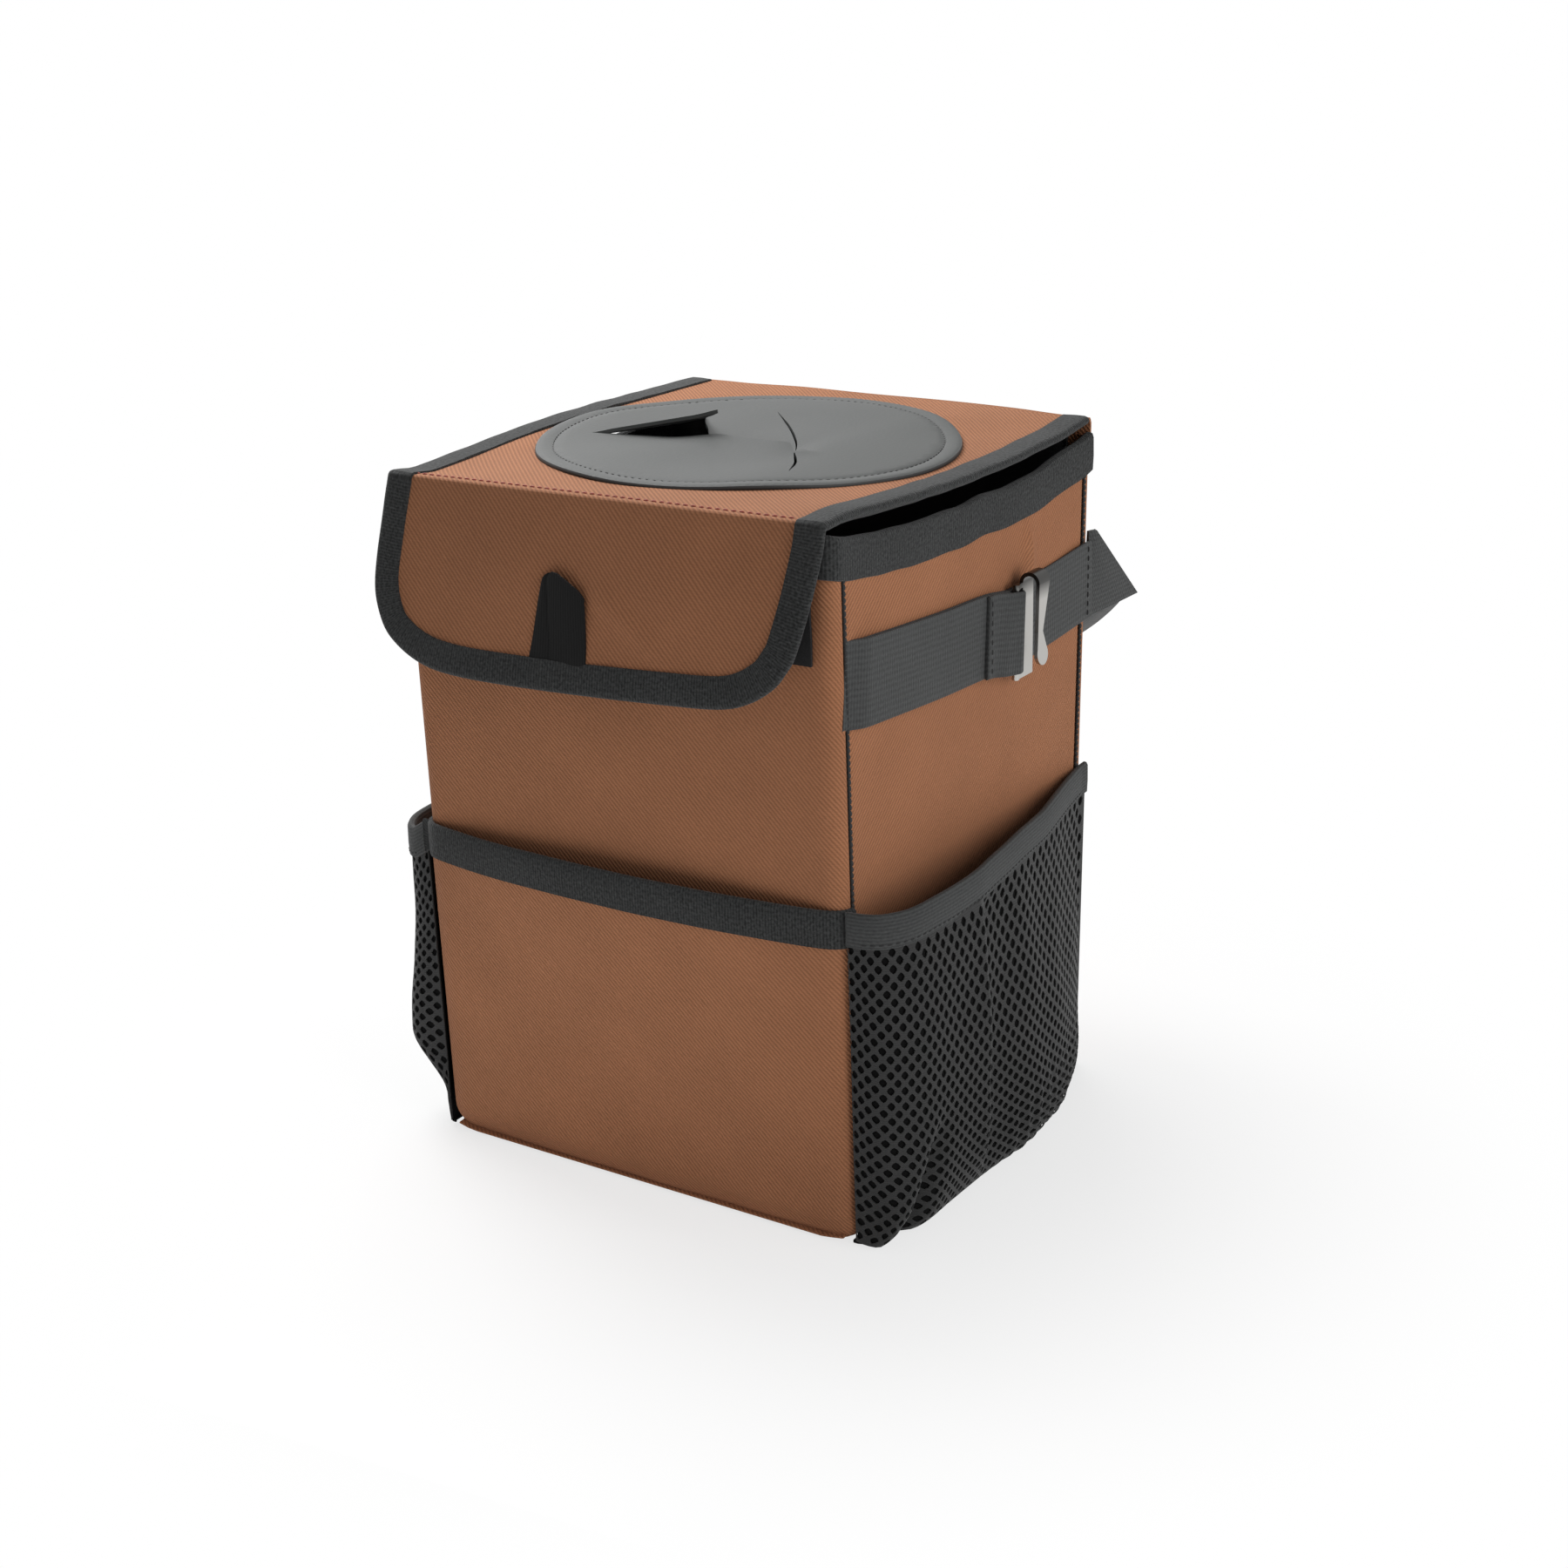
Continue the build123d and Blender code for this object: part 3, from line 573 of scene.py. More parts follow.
def panel(side, top, lift, bow=None):
    """Grid and edge strip of a front (-1) or back (1) sheet, whose edges roll round to the seams.

    A sheet lies a lift over the wall, and a bow tells how far it stands off at a place. Returns the points, faces,
    flat places and the points of the upper edge."""
    radius = BASE_CORNER - ROLL
    row_step, columns = 5, 45
    # Rows of the grid: height, half width and the direction of the edge.
    rows = [(ROLL + radius * (1 - math.cos(a)), HALF_WIDTH - BASE_CORNER + radius * math.sin(a), a)
            for a in angles(0, 91, 15)]
    count = round((top - BASE_CORNER) / row_step)
    rows += [(BASE_CORNER + (top - BASE_CORNER) * (i + 1) / count, HALF_WIDTH - ROLL, math.pi / 2)
             for i in range(count)]

    def place(x, z, depth):
        """Point at a front view place, a depth behind the sheet's outer face."""
        uneven = ripple(x, side * 40, z, reach=48, depth=1.0) if depth <= 0 else 0.0
        stand = bow(x, z) if bow else 0.0
        rise = WELT * (1 - min(z / BASE_CORNER, 1.0))
        return Vector((x, side * (wall(z) - depth + stand + uneven), z + rise))

    points, flat = [], []
    for z, half, _ in rows:
        for c in range(columns):
            x = half * (2 * c / (columns - 1) - 1)
            points.append(place(x, z, -lift))
            flat.append((x, z))
    faces = grid_faces(len(rows), columns)
    last = len(rows) - 1
    # Rim of the grid, down the right, along the foot and up the left: index of a point and direction outwards.
    ends = [(r * columns, Vector((math.sin(a), -math.cos(a)))) for r, (_, _, a) in enumerate(rows)]
    rim = [(i + columns - 1, out) for i, out in ends[::-1]]
    rim += [(c, Vector((0, -1))) for c in range(columns - 2, 0, -1)]
    rim += [(i, Vector((-out.x, out.y))) for i, out in ends]
    # Strip from the rim round to the seam and into its groove: reach outwards, depth and length of cloth.
    full = ROLL + lift
    bent = full * 1.57
    strip = [(full * math.sin(a), (ROLL_DEPTH + lift) * (1 - math.cos(a)) - lift, full * a)
             for a in angles(18, 91, 18)]
    strip += [(full, SEAM - 0.6, bent + 1.5), (full - 0.5, SEAM, bent + 2.2),
              (full - SEAM_TUCK, SEAM + 0.3, bent + 3.2)]
    start = len(points)
    width = len(strip)
    for index, out in rim:
        x, z = flat[index]
        square = 1 + SQUARE_CORNER * max(out.x, 0) * max(-out.y, 0)
        for reach, depth, far in strip:
            reach *= square
            points.append(place(x + out.x * reach, z + out.y * reach, depth * (1 + FOOT_LOSS * min(out.y, 0))))
            flat.append((x + out.x * far, z + out.y * far))
    for i, ((here, _), (there, _)) in enumerate(zip(rim, rim[1:])):
        a, b = start + i * width, start + (i + 1) * width
        faces.append((there, b, a, here))
        faces += [(b + k, b + k + 1, a + k + 1, a + k) for k in range(width - 1)]
    left = [start + (len(rim) - 1) * width + k for k in range(width)]
    right = [start + k for k in range(width)]
    edge = [points[i] for i in [*left[::-1], *range(last * columns, (last + 1) * columns), *right]]
    return points, facing(points, faces, MIDDLE), flat, edge


def sewn_panel(name, side, top, lift, thick, bow=None):
    """A front or back sheet as a piece, and its upper edge."""
    points, faces, flat, edge = panel(side, top, lift, bow)
    return piece(name, points, faces, flat, "polyester_canvas", "bin", thick), edge


def gusset_path():
    """Section of the side and base gusset, from the right upper edge to the left: (x, z, outward)."""
    reach = HALF_WIDTH - BASE_CORNER
    top = WALL_TOP - 3
    side_rows, base_rows = 46, 24
    right = [(HALF_WIDTH, top + (BASE_CORNER - top) * i / side_rows, Vector((1, 0))) for i in range(side_rows)]
    for a in angles(0, 91, 15):
        out = Vector((math.cos(a), -math.sin(a)))
        right.append((reach + BASE_CORNER * out.x, BASE_CORNER + BASE_CORNER * out.y, out))
    base = [(reach * (1 - 2 * i / base_rows), 0.0, Vector((0, -1))) for i in range(1, base_rows)]
    return [*right, *base, *[(-x, z, Vector((-out.x, out.y))) for x, z, out in right[::-1]]]


class BIN_OT_body(bpy.types.Operator):
    """Sew the front, back, side and base canvas and the lining"""

    bl_idname = "trash_bin.body"
    bl_label = "Body"

    def execute(self, context):
        self.walls()
        self.gusset()
        self.seams()
        self.welts()
        self.lining()
        return {"FINISHED"}

    def walls(self):
        """The front and back walls, which boards keep flat."""
        front, _ = sewn_panel("front_wall", -1, WALL_TOP - 4, 0.0, CANVAS)
        back, _ = sewn_panel("back_wall", 1, WALL_TOP - 1, 0.0, CANVAS)
        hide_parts("front_panel")
        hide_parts("back_panel")

    def sink(self, x, y, z, out):
        """How far the gusset lies inside its section: tucked in at the seams, loose between them, and creased."""
        edge = wall(z) - SEAM - abs(y)
        tuck = SEAM_TUCK * (1 - smooth(0, 2.6, edge))
        loose = smooth(6, 30, edge) * (1 - abs(out.y)) * (1 - smooth(222, 238, z))
        across = y - CREASE
        crease = math.exp(-(across / (1.2 if across < 0 else 5.0)) ** 2)
        fold = 2.2 * crease * smooth(212, 220, z) * (1 - smooth(230, 238, z))
        return tuck - loose * (0.4 + ripple(x, y, z, reach=42, depth=0.9)) - fold

    def gusset(self):
        """One sheet down the right side, under the base and up the left side."""
        grid = []
        columns = 61
        for x, z, out in gusset_path():
            row = []
            for c in range(columns):
                t = 2 * c / (columns - 1) - 1
                share = math.copysign(1 - (1 - abs(t)) ** 1.25, t)
                y = share * (wall(z) - SEAM)
                sink = self.sink(x, y, z, out)
                level = z - mm("rim_dip") * dip(y) * smooth(BASE_CORNER, WALL_TOP, z)
                row.append(Vector((x - out.x * sink, y, max(level - out.y * sink, 0.0))))
            grid.append(row)
        gusset = cloth("side_gusset", grid, "polyester_canvas", "bin", CANVAS)
        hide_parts("right_side_panel", "left_side_panel", "base_panel")

    def seams(self):
        """Piped stitching down the four corner seams."""
        for side, flank in ((-1, "left"), (1, "right")):
            for end, face in ((-1, "front"), (1, "back")):
                line = [Vector((side * (HALF_WIDTH - 0.1), end * (wall(z) - SEAM - 0.7), z)) for z in range(8, 244, 4)]
                ups = [Vector((side, 0, 0))] * len(line)
                seam = stitches(f"seam_{flank}_{face}", line, ups, "black_thread", "bin",
                                length=2.8, gap=-0.6, radius=0.6)

    def welts(self):
        """Folded canvas under the front and back walls, which rises a little at its ends."""
        for end, name in ((-1, "front"), (1, "back")):
            places = np.linspace(4 - HALF_WIDTH, HALF_WIDTH - 3, 41)
            rises = [1.4 * smooth(HALF_WIDTH - 11, HALF_WIDTH - 3, abs(x)) for x in places]
            grid = [[Vector((x, end * (wall(z) - depth), z + rise)) for x, rise in zip(places, rises)]
                    for depth, z in WELT_SECTION]
            welt = cloth(f"{name}_base_welt", grid, "polyester_canvas", "bin", 0.4)

    def lining(self):
        """A film tub that lies against the inside of the walls."""
        floor_rows, wall_rows, columns = 6, 41, 96
        grid = []
        for k in range(-floor_rows, wall_rows + 1):
            # The floor's rings close in on the middle, and the two above them round its edge.
            shrink = 1.0 if k >= 0 else (k + floor_rows) / floor_rows
            round_in = 0.985 + 0.0075 * k if 0 <= k < 2 else 1.0
            ring = []
            for i in range(columns + 1):
                turn = math.tau * i / columns
                cx, cy = (math.copysign(abs(f) ** TUB_POWER, f) for f in (math.cos(turn), math.sin(turn)))
                z = TUB_FLOOR + 0.4 + (WALL_TOP - 1.5 - TUB_FLOOR) * max(k, 0) / wall_rows
                if k > 0:
                    z -= mm("rim_dip") * dip(cy * RIM_HALF) * smooth(0.9, 1.0, abs(cx)) * k / wall_rows
                x = cx * (HALF_WIDTH - TUB_GAP) * shrink * round_in
                y = cy * (wall(z) - TUB_GAP - 0.6) * shrink * round_in
                uneven = ripple(x, y, z, reach=30, depth=0.5) if shrink == 1 else 0.0
                ring.append(Vector((x, y, z)) - Vector((cx, cy, 0)) * max(uneven, 0))
            grid.append(ring)
        tub = cloth("film_lining", grid, "waterproof_film", "bin", 0.4, MIDDLE, inward=True)
        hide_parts("lining_tub")


class BIN_OT_rim(bpy.types.Operator):
    """Bind the upper edge of the body"""

    bl_idname = "trash_bin.rim"
    bl_label = "Rim binding"

    def execute(self, context):
        turn = 4.0     # radius of the front corners
        side = [Vector((HALF_WIDTH, RIM_HALF - 2 - (2 * RIM_HALF - 2 - turn) * i / 60, 0)) for i in range(61)]
        corner = [Vector((HALF_WIDTH - turn + turn * math.cos(a), -RIM_HALF + turn - turn * math.sin(a), 0))
                  for a in angles(15, 90, 15)]
        front = [Vector((HALF_WIDTH - turn - (2 * HALF_WIDTH - 2 * turn) * i / 40, -RIM_HALF, 0)) for i in range(41)]
        mirror = [Vector((-p.x, p.y, 0)) for p in [*side, *corner][::-1]]
        line = [*side, *corner, *front, *mirror]
        centres, sides = [], []
        for point, run in zip(line, tangents(line)):
            out = Vector((-run.y, run.x, 0)).normalized()
            out = -out if out.dot(point) < 0 else out
            flank = smooth(0.9, 1.0, abs(point.x) / HALF_WIDTH)
            z = RIM_TOP - mm("rim_dip") * dip(point.y) * flank + ripple(point.x, point.y, 0, reach=16, depth=0.9)
            sway = ripple(point.x, point.y, 7, reach=22, depth=0.6)
            centres.append(Vector((point.x, point.y, z)) + out * sway)
            sides.append(out)
        wide = 14.6    # width of tape that shows
        profile = [(0.0, -wide), (0.9, -wide + 0.5), (1.15, -wide * 0.6), (1.0, -2.0), (0.5, -0.5), (-0.8, 0.0),
                   (-2.4, -0.4), (-3.3, -2.0), (-3.4, -wide * 0.6), (-3.2, -wide + 0.5), (-2.4, -wide)]
        tape = sweep("rim_tape", centres, sides, [UP] * len(line), profile, "grosgrain_tape", "bin")
        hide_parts("rim_binding")
        return {"FINISHED"}


# Pockets

class BIN_OT_front_pocket(bpy.types.Operator):
    """Sew the front pocket and bind its mouth"""

    bl_idname = "trash_bin.front_pocket"
    bl_label = "Front pocket"

    def bow(self, x, z):
        """How far the pocket stands off the front wall."""
        spare = 1 - abs(x / HALF_WIDTH) ** 2.4
        stand = 1.2 + mm("pocket_bow") * smooth(20, POCKET_TOP, z)
        return max(spare, 0) * stand + ripple(x, 9, z, reach=26, depth=0.5) * spare

    def execute(self, context):
        top = POCKET_TOP - 3
        pocket, edge = sewn_panel("front_pocket_canvas", -1, top, 1.1, 0.9, self.bow)
        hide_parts("front_pocket")
        centres = [p + Vector((0, 0, TAPE_TOP - top)) for p in edge[1:-1]]
        sides = [Vector((run.y, -run.x, 0)).normalized() for run in tangents(centres)]
        wide = TAPE_TOP - TAPE_LOW
        slope = (RIM_HALF - BASE_HALF) / WALL_TOP
        profile = [(0.0, -wide), (1.0, -wide + 0.4), (1.1, -wide * 0.5), (0.9, -1.2), (0.2, -0.1), (-0.8, 0.0),
                   (-1.6, -0.8), (-1.8, -wide * 0.5), (-1.7, -wide + 0.4), (-1.0, -wide)]
        ups = [Vector((0, -slope, 1)).normalized()] * len(centres)
        tape = sweep("front_pocket_tape", centres, sides, ups, profile, "grosgrain_tape", "bin")
        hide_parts("front_pocket_binding")
        return {"FINISHED"}


# Stand-off of a mesh pocket by height, and its plan at the mouth and at the foot as (along, out) shares.
BULGE = [(0, 14), (3, 17.5), (8, 20), (20, 22), (52, 21.5), (95, 19), (130, 17)]
MOUTH = [(-1, 0.0), (-0.985, 0.42), (-0.94, 0.76), (-0.82, 1.04), (-0.60, 1.13), (-0.38, 1.13), (-0.18, 1.01),
         (0.36, 0.66), (0.72, 0.28), (0.93, 0.06), (1, 0.0)]
FOOT = [(-1, 0.0), (-1.01, 0.36), (-0.98, 0.66), (-0.84, 0.92), (-0.55, 0.98), (-0.29, 1.02), (0.05, 1.12),
        (0.39, 0.95), (0.63, 0.68), (0.90, 0.24), (1, 0.0)]
PLAN_HALF = 88.0     # half length and stand-off of the plans, in which the mesh's length is measured
PLAN_OUT = 19.0
UNDER = 16.0         # length of mesh turned in under a pocket
MESH_FOOT = 0.9      # height of a pocket's underside


class BIN_OT_mesh_pockets(bpy.types.Operator):
    """Knit the two gathered side pockets and bind their mouths"""

    bl_idname = "trash_bin.mesh_pockets"
    bl_label = "Mesh pockets"

    def prepare(self):
        """Lines that the pocket follows: its plans by length, and its bulge by height."""
        self.plans = []
        for plan in (MOUTH, FOOT):
            line = curve_through([(y * PLAN_HALF, out * PLAN_OUT) for y, out in plan], 1.0)
            self.plans.append((line, lengths(line)))
        self.reach = self.plans[0][1][-1]
        self.bulge = curve_through(BULGE, 1.0)

    def plan(self, t, z):
        """Flat place at a share of the pocket's plan, between its foot and its mouth."""
        mouth, foot = (at_length(line, total, t * total[-1]) for line, total in self.plans)
        return foot.lerp(mouth, smooth(10, 100, z))

    def place(self, side, t, level, lift):
        """Point of a pocket at a share of its plan and a way up the cloth, which starts under the foot."""
        z = max(level, 0.0)
        flat = self.plan(t, z)
        run = (self.plan(t + 0.01, z) - self.plan(t - 0.01, z)).normalized()
        y = flat.x / PLAN_HALF * (wall(z) - 1.5)
        out = flat.y / PLAN_OUT * reading(self.bulge, z)
        spare = min(out / 8, 1.0)
        # A fold and a groove behind it, which lean back from the front lower corner.
        low_part = 1 - smooth(6, 50, z)
        across = y - (-80 + 0.36 * z)
        groove = math.exp(-((across - 2.5) / (3.0 if across < 2.5 else 6.0)) ** 2)
        out += low_part * (4.0 * math.exp(-((across + 9) / 6) ** 2) * spare - 11.0 * groove)
        # An upright ridge, with a hollow behind it.
        way = y + 34
        ridge = math.exp(way / 11) if way < 0 else 1 - 2.4 * smooth(0, 10, way) + 1.4 * smooth(10, 48, way)
        out += 2.6 * ridge * smooth(0, 24, z) * (1 - smooth(100, 124, z))
        # Small gathers along the back of the foot, and an uneven face.
        gather = math.sin(y * 0.8 + 2 * math.sin(z * 0.09))
        out += 0.7 * gather * (1 - smooth(8, 40, z)) * smooth(-20, 10, y) * spare
        out += ripple(0, y, z, reach=24, depth=1.2) * spare * (1 - smooth(100, 120, z))
        drop = 0.0
        if side < 0:
            # The left pocket swells at the front, draws in at its foot and sags at its mouth.
            out += 4.5 * math.exp(-((z - 42) / 26) ** 2) * (1 - smooth(-80, -40, y)) * spare
            out *= 0.15 + 0.85 * smooth(12, 33, z)
            drop = 5.0 * smooth(40, POCKET_TOP, z) * spare
        out = max(out, 1.3 - 0.5 * t) * (1 + min(level, 0.0) / UNDER)
        push = Vector((-run.y, run.x)) * lift
        return Vector((side * (HALF_WIDTH + out + push.y), y + push.x, MESH_FOOT + z - drop))

    def execute(self, context):
        self.prepare()
        for side, name in ((1, "right"), (-1, "left")):
            self.pocket(side, name)
        return {"FINISHED"}

    def pocket(self, side, name):
        """One pocket: a dark backing, a net of staggered holes over it and an elastic mouth."""
        centre = Vector((side * HALF_WIDTH * 0.5, 0, 70))
        tall = POCKET_TOP - MESH_FOOT
        rows, columns, mouth_steps = 48, 100, 120
        levels = [-UNDER, -UNDER / 2, *[tall * r / rows for r in range(rows + 1)]]
        grid = [[self.place(side, c / columns, level, 0.0) for c in range(columns + 1)] for level in levels]
        # The backing's near-black colour is partly painted shade, seen through the net's holes.
        backing = cloth(f"{name}_mesh_backing", grid, "mesh_backing", "bin", 0.6, centre)
        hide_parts(f"{name}_mesh_pocket")
        self.net(side, name, centre)
        mouth = [self.place(side, c / mouth_steps, tall, 0.9) for c in range(mouth_steps + 1)]
        centres = [p + Vector((0, 0, TAPE_TOP - POCKET_TOP + ripple(p.x, p.y, 3, reach=20, depth=0.5)))
                   for p in mouth]
        sides = [Vector((run.y, -run.x, 0)).normalized() * side for run in tangents(centres)]
        wide = 0.9 * (TAPE_TOP - TAPE_LOW)
        profile = [(0.1, -wide), (0.8, -wide + 0.4), (1.0, -wide * 0.6), (0.9, -1.2), (0.3, -0.1), (-0.8, 0.0),
                   (-1.8, -0.8), (-2.0, -wide * 0.5), (-1.9, -wide + 0.4), (-1.2, -wide)]
        tape = sweep(f"{name}_pocket_elastic", centres, sides, [UP] * len(centres), profile, "folded_elastic", "bin")
        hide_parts(f"{name}_pocket_binding")
        line = [p + out * 0.85 + Vector((0, 0, 1.8 - wide)) for p, out in zip(centres, sides)]
        seam = stitches(f"{name}_elastic_stitches", line[4:-4], sides[4:-4], "black_thread", "bin",
                        length=2.2, gap=0.8, radius=0.24)

    def net(self, side, name, centre):
        """The net: crossing strands round diamond cells, each with an eight-sided hole."""
        base, top = 0.4, TAPE_LOW + 3 - MESH_FOOT
        rows = round((top - base) / mm("net_height"))
        columns = 2 * round(self.reach / mm("net_width"))
        tall = (top - base) / rows
        ring = ((1, 0), (0.5, 0.5), (0, 1), (-0.5, 0.5), (-1, 0), (-0.5, -0.5), (0, -1), (0.5, -0.5))
        hole = ((0.56, 0), (0.35, 0.35), (0, 0.58), (-0.35, 0.35), (-0.56, 0), (-0.35, -0.35), (0, -0.58),
                (0.35, -0.35))
        corners = len(ring)
        points, flat, faces, known = [], [], [], {}

        def inwards(place, last):
            """Small step away from the lattice's edge, for a place on it."""
            return 0.3 * (1 if place == 0 else -1 if place == last else 0)

        def vertex(column, row):
            """Index of the point at a place in the lattice, in half cells, made once for each place."""
            if (column, row) not in known:
                known[column, row] = len(points)
                share, level = column / columns, base + row * tall
                t = share * (0.75 + 0.25 * share)
                # The rows of cells sag towards the back.
                sag = 14 * (1 - math.exp(-t * self.reach / 70)) * math.sin(math.pi * row / rows)
                points.append(self.place(side, t, level - sag, 0.8))
                flat.append((t * self.reach, level))
            return known[column, row]

        for r in range(rows + 1):
            for c in range(r % 2, columns + 1, 2):
                rim = [(c + i, r + j) for i, j in ring if 0 <= c + i <= columns and 0 <= r + j <= rows]
                if len(rim) == corners:
                    outer = [vertex(*at) for at in rim]
                    inner = [vertex(c + i, r + j) for i, j in hole]
                    faces += [(outer[k], outer[(k + 1) % corners], inner[(k + 1) % corners], inner[k])
                              for k in range(corners)]
                else:
                    # A half cell at the net's edge has no hole: its corners are joined in order of their bearing.
                    rim += [(c, r)]
                    bearings = [math.atan2(j - r - inwards(r, rows), i - c - inwards(c, columns)) for i, j in rim]
                    faces.append(tuple(vertex(*at) for _, at in sorted(zip(bearings, rim))))
        faces = facing(points, faces, centre)
        net = piece(f"{name}_mesh_yarn", points, faces, flat, "knitted_spacer_mesh", "bin", 0.5, sharp=60)
        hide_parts(f"{name}_mesh_net")


# Webbing

WEB = 1.3            # thickness of the webbing
BAND_HALF = 15.0     # half its width
SEAM_REACH = 14.0    # half length of the seams across it
# Middle line of the bands, as (along the side, height) places.
BAND = [(-95, 204.2), (-92, 204.0), (-60, 201.5), (-25, 199), (5, 197.5), (26, 195.2), (60, 197), (92, 199), (130, 199)]
BAND_WALL = wall(200)                   # half depth of the bin at the bands
BAND_START = -(BAND_WALL - SEAM + 0.6)  # front end of the webbing, in the corner seam
BAND_FACE = HALF_WIDTH + 0.6            # inner face of a band that lies on the side wall


class BIN_OT_webbing(bpy.types.Operator):
    """Sew the side bands, the clip loops and the strap behind"""

    bl_idname = "trash_bin.webbing"
    bl_label = "Webbing"

    def execute(self, context):
        self.middle = curve_through(BAND, 2.0)
        half = WEB / 2
        lower = [(-half, 0.5 - BAND_HALF), (0.4 - half, -BAND_HALF), (half - 0.4, -BAND_HALF),
                 (half - 0.15, 0.6 - BAND_HALF)]
        face = [(half, 2 - BAND_HALF + (2 * BAND_HALF - 4) * i / 6) for i in range(7)]
        upper = [(out, -up) for out, up in lower[::-1]]
        self.profile = [*lower, *face, *upper]
        for side, name in ((1, "right"), (-1, "left")):
            self.band(side, name)
            self.loop(side, name)
        self.strap()
        return {"FINISHED"}

    def tape(self, name, line, sides, ups, held, rests_on):
        """A length of webbing along a line."""
        made = sweep(name, line, sides, ups, self.profile, "polypropylene_webbing", "bin", weld=True)
        return made

    def upright(self, line):
        """Upward directions square to a line along a side wall."""
        ups = []
        for run in tangents(line):
            up = UP - run * run.z
            ups.append(up.normalized())
        return ups

    def tuck(self, y, depth):
        """How far webbing at a place sinks in towards the front seam, where it is sewn down to a depth."""
        return depth * (1 - smooth(0, 11, y - BAND_START))

    def cross_seam(self, name, side, x, y):
        """A row of stitches across the webbing."""
        middle = reading(self.middle, y)
        line = [Vector((x, y, middle + z)) for z in np.linspace(-SEAM_REACH, SEAM_REACH, 15)]
        stitches(name, line, [Vector((side, 0, 0))] * len(line), "black_thread", "bin")

    def band(self, side, name):
        """The layer that lies on the wall, from the front seam to the back."""
        steps = 70
        end = BAND_WALL - 1.5
        places = [BAND_START + (end - BAND_START) * i / steps for i in range(steps + 1)]
        x = BAND_FACE + WEB / 2
        line = [Vector((side * (x - self.tuck(y, 2.6)), y, reading(self.middle, y))) for y in places]
        sides = [Vector((side, 0, 0))] * len(line)
        made = self.tape(f"{name}_band_webbing", line, sides, self.upright(line), "stretched", "side_gusset")
        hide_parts(f"{name}_side_band")

    def loop(self, side, name):
        """The layer over it, that runs out to the clip's bar, round it and back to a cross seam."""
        over = BAND_FACE + WEB * 1.5
        bar, slack = 1.3, 0.5
        eye = bar + slack + WEB / 2
        plan = [Vector((over + 0.1 - self.tuck(y, 3.2), y)) for y in np.linspace(BAND_START, 4, 60)]
        plan += curve_through([(over + 0.1, 4), (over + 0.3, 10), (CLIP.x - eye + 0.6, CLIP.y - 7)], 2.0)[1:]
        plan += [Vector((CLIP.x + eye * math.cos(a), CLIP.y + eye * math.sin(a)))
                 for a in angles(200, -31, -15)]
        plan += curve_through([(CLIP.x + eye * 0.82, CLIP.y - eye * 0.55), (CLIP.x + 1.0, CLIP.y - 7),
                               (over + WEB + 0.5, 10), (over + WEB + 0.25, 3.4)], 2.0)[1:]
        line = [Vector((side * p.x, p.y, reading(self.middle, p.y))) for p in plan]
        # The webbing stands square to the band's slope, read off at each millimetre along it.
        reach = 95
        slopes = tangents([Vector((0, y, reading(self.middle, y))) for y in np.linspace(-reach, reach, 2 * reach + 1)])
        ups, sides = [], []
        for p, run in zip(line, tangents(line)):
            slope = slopes[min(max(int(p.y + reach), 0), 2 * reach)]
            up = Vector((0, -slope.z, slope.y))
            ups.append(up)
            sides.append(run.cross(up).normalized())
        made = self.tape(f"{name}_loop_webbing", line, sides, ups, "folded", f"{name}_band_webbing")
        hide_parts(f"{name}_clip_loop")
        self.cross_seam(f"{name}_loop_seam", side, side * (over + WEB * 1.5 + 0.25), 5.6)
        self.cross_seam(f"{name}_band_seam", side, side * (BAND_FACE + WEB + 0.1), BAND_WALL - SEAM + 1)

    def strap(self):
        """The sling behind: out from each back corner, folded down and hung across between them."""
        x = BAND_FACE + WEB / 2
        level = reading(self.middle, 92)
        root = BAND_WALL - 2
        fold = BAND_WALL + 1
        foot = level - BAND_HALF
        rows, columns, across = 12, 16, 8
        for side, name in ((1, "right"), (-1, "left")):
            grid = []
            for r in range(rows + 1):
                v = r / rows
                reach = fold + (STRAP_END - fold) * (1 - v) - root
                row = []
                for c in range(columns + 1):
                    y = root + reach * c / columns
                    out = 0.8 * math.sin(math.pi * c / columns) + 2.0 * (c / columns) ** 2
                    row.append(Vector((side * (x + out - 0.8), y, foot + (2 * BAND_HALF + 3) * v)))
                grid.append(row)
            made = cloth(f"{name}_strap_fold", grid, "polypropylene_webbing", "bin", WEB, Vector((0, 110, level)))
        half = [(x - 0.6, 0, level + 12), (x - 0.9, 0, level), (x - 1.6, 0, foot + 4), (x - 6, 0, foot - 6),
                (x - 22, 0, foot - 21), (x * 0.45, 0, STRAP_LOW + 7)]
        line = curve_through([*half, (0, 0, STRAP_LOW), *[(-p, 0, z) for p, _, z in half[::-1]]], 3.0)
        grid = []
        for p in line:
            row = []
            for c in range(across + 1):
                share = c / across
                y = fold + (STRAP_END - fold) * share
                tip = level + BAND_HALF - 2 * BAND_HALF * share
                z = min(p.z + 0.6 * WEB + 2.0 * (share - 0.5), tip)
                row.append(Vector((p.x, y - 0.4, z)))
            grid.append(row)
        sling = cloth("strap_sling", grid, "polypropylene_webbing", "bin", WEB, Vector((0, 115, 190)))
        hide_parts("back_strap")


# Lid and flap

